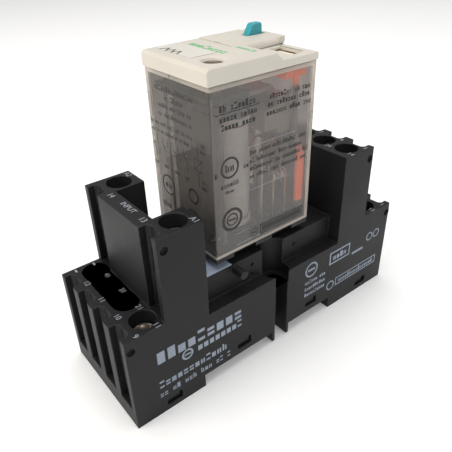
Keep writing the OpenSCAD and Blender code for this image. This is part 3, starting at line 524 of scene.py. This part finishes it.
# ---- Magnet
# A bobbin wound with enamelled copper and wrapped in pale tape stands on an L-shaped iron frame,
# with a soft iron core riveted through it.
iron = metal("magnet iron", (0.2, 0.19, 0.18), (0.12, 0.1, 0.09), 0.4, 0.42, (1, 1, 0.2), 0.3)
soften("yoke", 0.15, iron, "magnet_iron")
soften("coil_core", 0.12, iron, "magnet_iron")
bobbin_nylon = plastic("bobbin nylon", (0.74, 0.71, 0.62), (0.85, 0.83, 0.76), 0.4, 0.15, dust=0.0, glow=0.15)
soften("bobbin", 0.12, bobbin_nylon, "bobbin_plastic")
enamel = metal("enamelled copper", (0.62, 0.24, 0.1), (0.36, 0.12, 0.05), 0.3, 0.25)
low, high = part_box("coil_winding")
middle = (low + high) / 2
half_x, half_y = (high.x - low.x) / 2, (high.y - low.y) / 2
wire = 0.25 * mm
winding = wind(
    "coil_winding_wound", half_x - wire, high.z - low.z - 2 * wire, 40.0, wire, enamel,
    Matrix.Translation((middle.x, middle.y, low.z + wire)), straight=half_y - half_x,
)
settle(winding, "winding_copper", "coil_winding")
tape_film = plastic(
    "coil tape", (0.76, 0.74, 0.7), (0.85, 0.84, 0.8), 0.32, 0.5, grain_scale=900.0, dust=0.0, mottle=0.08
)
soften("coil_tape", 0.04, tape_film, "tape_white")
lead_wire = metal("tinned lead wire", (0.36, 0.31, 0.26), (0.2, 0.16, 0.12), 0.4, 0.4)
soften("coil_leads", 0.0, lead_wire, "winding_copper")

# ---- Contacts
# Silver rivets on brass posts and springs, with braided copper leads up to the moving springs.
silver = metal("contact silver", (0.84, 0.83, 0.8), (0.42, 0.38, 0.3), 0.4, 0.26)
for name in ("no_contact_tips", "nc_contact_tips", "moving_contact_tips"):
    soften(name, 0.15, silver, "contact_silver")
spring_brass = metal("spring bronze", (0.5, 0.38, 0.26), (0.3, 0.2, 0.13), 0.35, 0.32, (1, 1, 0.12), 0.2)
soften("moving_springs", 0.03, spring_brass, "spring_metal")
braid = metal("braided copper", (0.4, 0.24, 0.15), (0.2, 0.11, 0.07), 0.5, 0.45, (0.4, 1, 1), 1.0)
soften("lead_wires", 0.0, braid, "winding_copper", sharp=70)

# ---- Circuit board
# A small laminate board under the cap holds the lamp, its resistor and the coil's diode.
laminate = plastic("green laminate", (0.06, 0.09, 0.06), (0.12, 0.16, 0.12), 0.35, 0.3, dust=0.1)
soften("circuit_board", 0.06, laminate, "board_green")
# The lamp's dark brown is painted shade and dirt as well, for the dark dish it sits in.
lamp = plastic("lamp lens", (0.2, 0.15, 0.1), (0.4, 0.34, 0.26), 0.12, 0.02, dust=0.0, mottle=0.5)
soften("indicator_led", 0.1, lamp, "led_green")
diode_body = plastic("diode body", (0.02, 0.02, 0.02), (0.1, 0.1, 0.1), 0.3, 0.1, dust=0.0)
soften("surge_diode", 0.15, diode_body, "diode_black")
resistor_body = plastic("resistor body", (0.56, 0.4, 0.22), (0.66, 0.5, 0.3), 0.34, 0.2, dust=0.0)
soften("series_resistor", 0.18, resistor_body, "resistor_tan")

# ---- Armature, carrier and return
# The iron armature tips on the frame's top edge and swings the cream carrier that holds the
# moving springs.
soften("armature", 0.12, iron, "magnet_iron")
carrier_pbt = plastic("carrier plastic", (0.42, 0.375, 0.31), (0.5, 0.46, 0.4), 0.42, 0.2, dust=0.0)
soften("contact_carrier", 0.2, carrier_pbt, "carrier_plastic")

# ---- Test button and lever
# A teal fin rises through the door, on an orange lever that reaches down beside the contacts. The
# lever carries a painted glow, an orange emission away from its neck though it is no lamp, and the
# thin neck of the lever is greyed over.
button_pbt = plastic(
    "teal button", (0.03, 0.32, 0.38), (0.12, 0.5, 0.55), 0.34, 0.12,
    wear=0.35, mottle=0.05, dust=0.1, glow=0.08,
)
soften("test_button", 0.22, button_pbt, "button_teal", segments=3)
lever_pbt = plastic("orange lever", (0.9, 0.15, 0.025), (0.95, 0.35, 0.15), 0.4, 0.12, dust=0.0, glow=0.12)
tree = lever_pbt.node_tree
shader = tree.nodes["Principled BSDF"]
low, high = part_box("test_lever")
bar_end, neck_start = low.z + 10.5 * mm, low.z + 15 * mm
neck_end, plate_start = high.z - 3.2 * mm, high.z - 2 * mm
place = add_node(tree, "ShaderNodeTexCoord").outputs["Object"]
level = add_node(tree, "ShaderNodeSeparateXYZ", Vector=place).outputs["Z"]
above = ramp(tree, level, bar_end, neck_start, interpolation_type="SMOOTHSTEP")
below = ramp(tree, level, neck_end, plate_start, 1.0, 0.0, interpolation_type="SMOOTHSTEP")
neck = reckon(tree, "MULTIPLY", above, below)
orange = shader.inputs["Base Color"].links[0].from_socket
neck_grey, painted_glow_orange = (0.26, 0.2, 0.175, 1), (0.9, 0.17, 0.05, 1)
tree.links.new(blend_colours(tree, neck, orange, neck_grey), shader.inputs["Base Color"])
# Painted glow: away from the neck the lever emits orange at strength 0.4, though it is no lamp.
tree.links.new(blend_colours(tree, neck, painted_glow_orange, (0, 0, 0, 1)), shader.inputs["Emission Color"])
shader.inputs["Emission Strength"].default_value = 0.4
soften("test_lever", 0.2, lever_pbt, "lever_orange")

# ---- Clear cover
# A thin-walled box of smoke-tinted polycarbonate. Its thick rims, and a strip down each wall on the
# +X and +Y sides, carry a painted highlight: cream where their thick edges gather the light. The wall
# at the coil's end carries painted shade: a darker copy of the smoke tint.


def smoky(name, deep, pale):
    """A see-through smoke tint, clouded between two colours."""
    made = bpy.data.materials.new(name)
    made.use_nodes = True
    tree = made.node_tree
    shader = tree.nodes["Principled BSDF"]
    shader.inputs["Transmission Weight"].default_value = 0.85
    shader.inputs["IOR"].default_value = 1.2
    place = add_node(tree, "ShaderNodeTexCoord").outputs["Object"]
    clouds = add_node(tree, "ShaderNodeTexNoise", Vector=place, Scale=160.0, Detail=3.0)
    tint = blend_colours(tree, clouds.outputs["Fac"], (*deep, 1), (*pale, 1))
    gloss = ramp(tree, clouds.outputs["Fac"], 0.0, 1.0, 0.05, 0.1)
    tree.links.new(tint, shader.inputs["Base Color"])
    tree.links.new(gloss, shader.inputs["Roughness"])
    clear = add_node(tree, "ShaderNodeBsdfTransparent", Color=(0.8, 0.77, 0.74, 1))
    shaded = add_node(tree, "ShaderNodeLightPath").outputs["Is Shadow Ray"]
    lit = add_node(tree, "ShaderNodeMixShader", Fac=shaded)
    tree.links.new(shader.outputs[0], lit.inputs[1])
    tree.links.new(clear.outputs[0], lit.inputs[2])
    tree.links.new(lit.outputs[0], tree.nodes["Material Output"].inputs["Surface"])
    return made


smoke = smoky("smoky polycarbonate", (0.5, 0.475, 0.46), (0.68, 0.655, 0.64))
# A darker copy of the smoke tint: painted shade on the wall at the coil's end.
painted_shade_end_smoke = smoky("smoky polycarbonate, coil end painted shade", (0.25, 0.235, 0.225), (0.36, 0.34, 0.33))
cover = soften("clear_cover", 0.3, smoke, "clear_plastic", segments=3)
# The cream edge material is a painted highlight, laid on the cover's thick rims and side strips.
painted_highlight_edge = plastic("cover edge painted highlight", (0.58, 0.53, 0.47), (0.58, 0.53, 0.47), 0.3, 0.1, mottle=0.25, dust=0)
painted_highlight_edge.node_tree.nodes["Principled BSDF"].inputs["Transmission Weight"].default_value = 0.45
painted_highlight_edge.node_tree.nodes["Principled BSDF"].inputs["IOR"].default_value = 1.2
cover.data.materials.append(painted_highlight_edge)
cover.data.materials.append(painted_shade_end_smoke)
low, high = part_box("clear_cover")
rim, strip, skin_depth, end_depth = 0.9 * mm, 1.2 * mm, 0.4 * mm, 0.15 * mm
rim_top, band_low = low.z + rim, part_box("relay_cap")[0].z - rim
strip_x, strip_y = high.x - strip, high.y - strip
cover.data.attributes.remove(cover.data.attributes["custom_normal"])
work = bmesh.new()
work.from_mesh(cover.data)
corner = work.faces.layers.float["edge_wear"]
cuts = (
    ((0, 0, rim_top), (0, 0, 1)), ((0, 0, band_low), (0, 0, 1)),
    ((strip_x, 0, 0), (1, 0, 0)), ((0, strip_y, 0), (0, 1, 0)),
)
for spot, facing in cuts:
    everything = work.verts[:] + work.edges[:] + work.faces[:]
    bmesh.ops.bisect_plane(work, geom=everything, plane_co=spot, plane_no=facing)
# Outside rim and strip faces take the painted-highlight cream; faces on the coil-end wall take the
# painted-shade smoke.
for face in work.faces:
    face.smooth = face[corner] > 0.5
    spot = face.calc_center_median()
    outside = min(spot.x - low.x, high.x - spot.x, spot.y - low.y, high.y - spot.y) < skin_depth
    rimmed = spot.z < rim_top or band_low < spot.z < band_low + rim
    if outside and (rimmed or spot.x > strip_x or spot.y > strip_y):
        face.material_index = 1
    elif spot.x - low.x < end_depth:
        face.material_index = 2
work.to_mesh(cover.data)
work.free()

# ---- Cap, flag and door
# Cream polyester mouldings: the cap with its stepped top, the flag that slides behind the window,
# and the door around the button.
cream = plastic(
    "cream polyester", (0.6, 0.56, 0.495), (0.7, 0.66, 0.58), 0.42, 0.12,
    wear=0.4, mottle=0.03, dust=0.15, glow=0.1,
)
soften("relay_cap", 0.2, cream, "cap_plastic", segments=3)
flag_pbt = plastic("flag plastic", (0.8, 0.75, 0.6), (0.85, 0.8, 0.7), 0.45, 0.1, dust=0.0)
soften("status_flag", 0.06, flag_pbt, "flag_plastic")
soften("locking_door", 0.1, cream, "cap_plastic", join=0.05)

# A dark lens sits in the dish above the lamp; its dark brown is painted shade and dirt, standing for the
# darkness of the deep dish.
lamp_low, lamp_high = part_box("indicator_led")
lens = as_piece("lamp_lens_painted_shade", turned([
    (0.05, -1.05), (1.64, -0.95), (1.72, -0.8), (1.9, -0.58), (1.84, -0.52), (1.5, -0.74), (0.05, -0.86),
]))
lens.data.transform(Matrix.Translation((
    (lamp_low.x + lamp_high.x) / 2, (lamp_low.y + lamp_high.y) / 2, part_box("marking_label")[0].z,
)))
# Its dark brown is painted shade and dirt: it stands for the darkness of the deep dish around the lamp.
dish_shade_and_dirt = plastic("smoked lens", (0.09, 0.065, 0.045), (0.2, 0.16, 0.12), 0.15, 0.05, mottle=0.5, dust=0.0)
lens.data.materials.append(dish_shade_and_dirt)
settle(lens, "led_green", body=body_of["relay_cap"])

# ---- Stickers
# A white marking tag on the cap, and a pale blue wiring sticker on the socket's deck.
tag_paper = plastic("white tag", (0.63, 0.6, 0.55), (0.7, 0.68, 0.64), 0.5, 0.15, dust=0.1, mottle=0.03)
soften("marking_label", 0.03, tag_paper, "label_white", join=0.01)
blue_film = plastic("blue sticker", (0.4, 0.48, 0.6), (0.5, 0.56, 0.66), 0.4, 0.15, dust=0.2, mottle=0.04)
soften("wiring_label", 0.03, blue_film, "label_blue", join=0.01)

# ---- Printing
# Pad-printed ink, a hair proud of the mouldings: real terminal numbers and circuit lines, with rows
# of plain blocks, rings and bars where the maker's own lines and marks stand.
ink_t = 0.014
dice = random.Random(7)


def prism(work, points):
    """A flat closed prism of ink from an outline in mm, counterclockwise."""
    low_ring = [work.verts.new((x * mm, y * mm, -ink_t / 2 * mm)) for x, y in points]
    top_ring = [work.verts.new((x * mm, y * mm, ink_t * mm)) for x, y in points]
    work.faces.new(list(reversed(low_ring)))
    work.faces.new(top_ring)
    for k in range(len(points)):
        n = (k + 1) % len(points)
        work.faces.new((low_ring[k], low_ring[n], top_ring[n], top_ring[k]))


def bar(work, x0, x1, y0, y1):
    prism(work, [(x0, y0), (x1, y0), (x1, y1), (x0, y1)])


def stroke(work, start, end, wide):
    """A straight line of the pen, with square ends."""
    along = (Vector(end) - Vector(start)).normalized() * wide / 2
    side = Vector((-along.y, along.x))
    a, b = Vector(start) - along, Vector(end) + along
    prism(work, [a - side, b - side, b + side, a + side])


def hollow(work, x0, x1, y0, y1, wide):
    """A rectangle drawn as a line."""
    bar(work, x0, x1, y0, y0 + wide)
    bar(work, x0, x1, y1 - wide, y1)
    bar(work, x0, x0 + wide, y0 + wide, y1 - wide)
    bar(work, x1 - wide, x1, y0 + wide, y1 - wide)


def roundel(work, x, y, outer, wide):
    """A printed ring."""
    sides = 36
    step, inner = 2 * math.pi / sides, outer - wide
    for k in range(sides):
        a, b = k * step, (k + 1) * step
        ends = ((inner, a), (outer, a), (outer, b), (inner, b))
        prism(work, [(x + r * math.cos(angle), y + r * math.sin(angle)) for r, angle in ends])


def signs(work, x0, x1, y0, y1, aspect=0.72, words=0.2):
    """A printed line of plain blocks from x0 to x1, tall and low ones by chance and with word gaps."""
    small, dash = 0.7, 0.26
    tall = y1 - y0
    count = max(1, round((x1 - x0) / (aspect * tall)))
    cell = (x1 - x0) / count
    run = 0
    for k in range(count):
        run += 1
        if 0 < k < count - 1 and run > 2 and dice.random() < words:
            run = 0
            continue
        x = x0 + k * cell
        top = y0 + tall * dice.choice((small, 1.0, small))
        kind = dice.choice(("block", "block", "posts", "dashes"))
        left, right, post = x + 0.1 * cell, x + 0.82 * cell, 0.28 * cell
        if kind == "block":
            bar(work, left, right, y0, top)
        elif kind == "posts":
            bar(work, left, left + post, y0, top)
            bar(work, right - post, right, y0, y0 + tall * small)
        else:
            bar(work, left, right, y0, y0 + dash * tall)
            bar(work, left, right, top - dash * tall, top)


def figures(work, text, x, y, tall):
    """Plain numerals or a word in the built-in typeface, centred on x and y."""
    curve = bpy.data.curves.new("figures", "FONT")
    curve.body = text
    curve.extrude = 0.5
    writing = show(bpy.data.objects.new("figures", curve))
    bpy.context.view_layer.update()
    mesh = bpy.data.meshes.new_from_object(writing.evaluated_get(bpy.context.evaluated_depsgraph_get()))
    bpy.data.objects.remove(writing)
    xs = [v.co.x for v in mesh.vertices]
    ys = [v.co.y for v in mesh.vertices]
    scale = tall * mm / (max(ys) - min(ys))
    for v in mesh.vertices:
        v.co.x = (v.co.x - (min(xs) + max(xs)) / 2) * scale + x * mm
        v.co.y = (v.co.y - (min(ys) + max(ys)) / 2) * scale + y * mm
        v.co.z = ink_t * mm if v.co.z > 0 else -ink_t / 2 * mm
    work.from_mesh(mesh)
    bpy.data.meshes.remove(mesh)


def printed(name, work, origin, right, up, material, slot, body):
    """The ink laid on its face: origin in metres, right and up along the face."""
    across, upward = Vector(right), Vector(up)
    out = across.cross(upward)
    place = Matrix((across, upward, out)).transposed().to_4x4()
    work.transform(Matrix.Translation(origin) @ place)
    piece = as_piece(name, work)
    piece.data.materials.append(material)
    return settle(piece, slot, body=body)


socket_body, relay_body = body_of["socket_housing"], body_of["relay_cap"]
pale_ink = plastic("pale socket ink", (0.3, 0.325, 0.36), (0.4, 0.4, 0.4), 0.6, 0.2, mottle=0.15, dust=0)
grey_ink = plastic("grey blue socket ink", (0.24, 0.28, 0.34), (0.2, 0.24, 0.3), 0.6, 0.2, mottle=0.2, dust=0)
black_ink = plastic(
    "black cover ink", (0.006, 0.0055, 0.0055), (0.05, 0.05, 0.05), 0.5, 0.2, mottle=0.1, dust=0
)
green_ink = plastic("green cap ink", (0.06, 0.42, 0.13), (0.2, 0.5, 0.25), 0.5, 0.2, mottle=0.15, dust=0)
pen_ink = plastic("marker pen ink", (0.016, 0.018, 0.024), (0.05, 0.05, 0.06), 0.4, 0.1, mottle=0.2, dust=0)

# Terminal numbers on the two low tiers and the two towers; they read across the socket.
figure_h, tower_figure_h, word_h = 1.15, 1.25, 1.2
low_ink, high_ink = bmesh.new(), bmesh.new()
for k in range(4):
    y = (k - 1.5) * clamp_pitch
    figures(low_ink, f"{k + 1}1", -(y - 3.15), -31.5, figure_h)
    figures(low_ink, str(k + 9), -(y - 3.1), -36.1, figure_h)
    figures(low_ink, f"{k + 1}2", -(y - 3.0), 32.7, figure_h)
    figures(low_ink, str(k + 1), -(y - 3.0), 36.7, figure_h)
    figures(high_ink, f"{k + 1}4", -(y - 3.0), 21.7, figure_h)
    figures(high_ink, str(k + 5), -(y - 3.0), 26.6, figure_h)
figures(high_ink, "14", -5.8, -28.0, tower_figure_h)
figures(high_ink, "INPUT", 0.6, -27.8, word_h)
figures(high_ink, "13", 6.4, -28.0, tower_figure_h)
figures(high_ink, "A1", 12.3, -20.9, tower_figure_h)
figures(high_ink, "A2", -12.1, -20.8, tower_figure_h)
bar(low_ink, -13.0, -12.0, -32.1, -31.7)
bar(low_ink, -13.1, -12.1, -36.3, -35.9)
head_below = 2.8 * mm
tier_top, tower_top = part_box("com_screws")[1].z + head_below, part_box("no_screws")[1].z + head_below
ahead, leftward, upright = (1, 0, 0), (0, -1, 0), (0, 0, 1)
printed("tier_numbers", low_ink, (0, 0, tier_top), leftward, ahead, pale_ink, "label_white", socket_body)
printed("tower_numbers", high_ink, (0, 0, tower_top), leftward, ahead, pale_ink, "label_white", socket_body)

# The socket's side: a bold line, a spaced line, two rating lines and a ring; approval-like rings and
# bars on the contact half.
side_ink = bmesh.new()
signs(side_ink, -33.0, -11.1, 14.0, 17.0, aspect=0.78, words=0.0)
signs(side_ink, -23.3, -11.2, 11.6, 13.5, aspect=0.8, words=0.0)
roundel(side_ink, -25.8, 12.4, 1.4, 0.45)
bar(side_ink, -26.6, -25.0, 12.2, 12.6)
signs(side_ink, -33.1, -15.6, 7.35, 9.2, aspect=0.78, words=0.0)
signs(side_ink, -33.2, -14.7, 4.75, 6.15, aspect=0.75, words=0.28)
roundel(side_ink, 10.4, 15.9, 2.1, 0.45)
bar(side_ink, 9.2, 11.6, 15.6, 16.2)
for z in (12.5, 10.6, 8.8):
    signs(side_ink, 8.4, 15.6, z - 0.5, z + 0.5, words=0.1)
hollow(side_ink, 16.8, 24.3, 13.9, 17.5, 0.4)
signs(side_ink, 18.0, 23.1, 14.9, 16.5, words=0.0)
bar(side_ink, 25.4, 29.7, 13.2, 13.9)
roundel(side_ink, 32.0, 16.0, 1.25, 0.35)
roundel(side_ink, 34.7, 16.0, 1.25, 0.35)
roundel(side_ink, 17.9, 7.2, 1.4, 0.35)
hollow(side_ink, 19.8, 35.9, 6.1, 8.6, 0.3)
signs(side_ink, 20.9, 34.8, 6.75, 7.95, words=0.1)
low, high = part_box("socket_housing")
printed("socket_side_print", side_ink, (0, low.y, 0), ahead, upright, grey_ink, "label_blue", socket_body)

# The cover's long face: a heading with its underline, rating lines, a paragraph, rings and a solid bar.
face_ink, frame_ink = bmesh.new(), bmesh.new()
signs(face_ink, -13.0, -4.4, 59.3, 60.55, words=0.12)
stroke(face_ink, (-13.9, 59.0), (-3.5, 59.0), 0.14)
signs(face_ink, -13.0, -4.1, 57.45, 58.6)
signs(face_ink, -12.7, -4.5, 55.85, 57.0)
signs(face_ink, -1.1, 9.8, 59.2, 60.2)
signs(face_ink, -1.5, 9.8, 57.7, 58.75)
signs(face_ink, -1.8, 10.3, 56.05, 57.1)
for z, x0, x1 in ((49.3, -6.0, 9.4), (47.6, -6.0, 8.0), (46.0, -6.0, 10.2), (44.3, -6.0, 9.6)):
    signs(face_ink, x0, x1, z, z + 0.95, aspect=0.62)
roundel(face_ink, -10.9, 48.3, 2.2, 0.42)
signs(face_ink, -12.1, -9.7, 47.5, 49.1, aspect=0.75, words=0.0)
signs(face_ink, -14.6, -13.9, 46.9, 47.9, words=0.0)
signs(face_ink, -7.6, -6.2, 47.1, 48.1, words=0.0)
signs(face_ink, -13.2, -8.7, 44.3, 45.4, words=0.0)
signs(face_ink, -12.3, -10.0, 43.0, 43.7, words=0.0)
roundel(face_ink, -10.6, 36.9, 2.6, 0.62)
roundel(face_ink, -10.6, 36.9, 1.45, 0.35)
bar(face_ink, -11.5, -9.7, 36.72, 37.08)
roundel(face_ink, -4.8, 31.4, 1.1, 0.22)
bar(face_ink, -5.5, -4.1, 31.25, 31.55)
hollow(face_ink, -3.2, 9.5, 30.15, 32.6, 0.32)
bar(face_ink, -2.6, 8.9, 30.7, 32.05)
stroke(frame_ink, (-9.7, 33.0), (-6.3, 33.0), 0.1)
stroke(frame_ink, (-9.7, 30.3), (-2.5, 30.3), 0.1)
stroke(frame_ink, (-9.3, 41.8), (4.8, 41.8), 0.07)
stroke(frame_ink, (-9.4, 51.0), (6.0, 51.0), 0.07)
low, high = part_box("clear_cover")
printed("cover_face_print", face_ink, (0, low.y, 0), ahead, upright, black_ink, "diode_black", relay_body)
printed("cover_face_lines", frame_ink, (0, low.y, 0), ahead, upright, pale_ink, "label_white", relay_body)

# The cover's coil end: rating lines above the circuit of four changeover contacts and the coil.
end_ink = bmesh.new()
signs(end_ink, -7.4, 5.6, 60.4, 61.5, words=0.0)
signs(end_ink, -4.2, 2.2, 58.7, 59.7, words=0.1)
signs(end_ink, -6.4, 4.6, 57.1, 58.0, words=0.15)
signs(end_ink, -6.7, 4.5, 55.3, 56.2, words=0.1)
signs(end_ink, -10.0, 4.6, 53.1, 53.9, aspect=0.62, words=0.3)
signs(end_ink, -10.0, 4.6, 51.4, 52.2, aspect=0.62, words=0.3)
pen = 0.16
for k in range(4):
    x = -8.9 + 3.7 * k
    stroke(end_ink, (x - 0.9, 50.5), (x - 0.9, 48.6), pen)
    stroke(end_ink, (x - 0.9, 48.6), (x + 0.1, 48.6), pen)
    stroke(end_ink, (x + 0.75, 50.5), (x + 0.75, 48.6), pen)
    stroke(end_ink, (x, 45.6), (x, 47.4), pen)
    stroke(end_ink, (x, 47.4), (x - 0.75, 48.8), pen)
    signs(end_ink, x - 1.1, x + 0.5, 43.9, 44.7, words=0.0)
for k in range(14):
    bar(end_ink, -8.9 + 0.9 * k, -8.4 + 0.9 * k, 47.75, 47.87)
stroke(end_ink, (6.0, 49.7), (6.0, 53.3), pen)
stroke(end_ink, (6.0, 43.8), (6.0, 47.2), pen)
hollow(end_ink, 4.8, 7.2, 47.2, 49.7, pen)
stroke(end_ink, (4.95, 47.35), (7.05, 49.55), pen)
for z0, z1 in ((52.6, 53.5), (51.2, 52.0), (45.0, 45.9), (43.6, 44.4)):
    signs(end_ink, 6.8, 8.4, z0, z1, words=0.0)
roundel(end_ink, -5.4, 40.0, 2.4, 0.4)
signs(end_ink, -6.7, -4.1, 39.3, 40.8, words=0.0)
roundel(end_ink, 3.7, 40.9, 1.75, 0.5)
signs(end_ink, -8.5, -5.0, 34.1, 35.8, words=0.0)
signs(end_ink, 1.8, 4.8, 36.6, 38.0, words=0.0)
printed("cover_end_print", end_ink, (low.x, 0, 0), leftward, upright, black_ink, "diode_black", relay_body)

# Green signs on the cap, and a zigzag of marker pen on the white tag.
cap_ink, tag_ink = bmesh.new(), bmesh.new()
signs(cap_ink, -7.5, 3.7, -6.4, -4.5, words=0.0)
signs(cap_ink, 1.5, 6.6, -1.6, -0.6, words=0.2)
low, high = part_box("marking_label")
printed("cap_print", cap_ink, (0, 0, low.z), leftward, ahead, green_ink, "led_green", relay_body)
pen_wide, zig_step, zig_tall = 0.34, 0.95, 1.5
zigzag = [(-7.9 + zig_step * k, -12.4 + zig_tall * (k % 2)) for k in range(7)]
for a, b in zip(zigzag, zigzag[1:]):
    stroke(tag_ink, a, b, pen_wide)
printed("tag_zigzag", tag_ink, (0, 0, high.z), leftward, ahead, pen_ink, "diode_black", relay_body)

# ---- Studio
# A pale floor, soft boxes from the upper left, the front and above, and the camera.
floor_paper = bpy.data.materials.new("floor paper")
floor_paper.use_nodes = True
tree = floor_paper.node_tree
shader = tree.nodes["Principled BSDF"]
shader.inputs["Roughness"].default_value = 0.9
shader.inputs["Emission Color"].default_value = (1, 1, 1, 1)
shader.inputs["Emission Strength"].default_value = 0.12
place = add_node(tree, "ShaderNodeTexCoord").outputs["Object"]
fibres = add_node(tree, "ShaderNodeTexNoise", Vector=place, Scale=700.0, Detail=3.0)
paper = blend_colours(tree, fibres.outputs["Fac"], (0.88, 0.88, 0.88, 1), (0.92, 0.92, 0.92, 1))
tree.links.new(paper, shader.inputs["Base Color"])
work = bmesh.new()
bmesh.ops.create_grid(work, x_segments=2, y_segments=2, size=1.5)
floor = as_piece("floor", work)
floor.data.materials.append(floor_paper)

world = bpy.data.worlds.new("studio")
world.use_nodes = True
sky = world.node_tree.nodes["Background"]
sky.inputs["Color"].default_value = (1.0, 1.0, 1.0, 1)
sky.inputs["Strength"].default_value = 0.55
bpy.context.scene.world = world


def soft_box(name, place, aim, size, power, colour):
    lamp_data = bpy.data.lights.new(name, "AREA")
    lamp_data.shape = "RECTANGLE"
    lamp_data.size, lamp_data.size_y = size
    lamp_data.energy = power
    lamp_data.color = colour
    made = show(bpy.data.objects.new(name, lamp_data))
    made.location = place
    made.rotation_euler = (Vector(aim) - Vector(place)).to_track_quat("-Z", "Y").to_euler()


soft_box("left box", (-0.5, 0.12, 0.28), (0, 0, 0.03), (0.4, 0.4), 1.7, (1.0, 0.95, 0.86))
soft_box("front box", (0.12, -0.6, 0.32), (0, 0, 0.03), (0.5, 0.35), 0.65, (0.95, 0.97, 1.0))
soft_box("top box", (0.05, 0.05, 0.6), (0, 0, 0), (0.5, 0.5), 2.0, (1.0, 0.99, 0.97))

camera_data = bpy.data.cameras.new("camera")
camera_data.sensor_width = 36.0
camera_data.lens = 40.0
camera_data.shift_x = 0.0118
camera_data.shift_y = -0.0188
camera_data.clip_start = 0.005
camera = show(bpy.data.objects.new("camera", camera_data))
heading, tilt, roll = math.radians(37.05), math.radians(31.28), math.radians(2.29)
camera.matrix_world = (
    Matrix.Translation((-0.06367, -0.07688, 0.08908))
    @ Matrix.Rotation(-heading, 4, "Z")
    @ Matrix.Rotation(math.pi / 2 - tilt, 4, "X")
    @ Matrix.Rotation(-roll, 4, "Z")
)
bpy.context.scene.camera = camera
bpy.context.scene.view_settings.view_transform = "Standard"

bpy.context.view_layer.update()
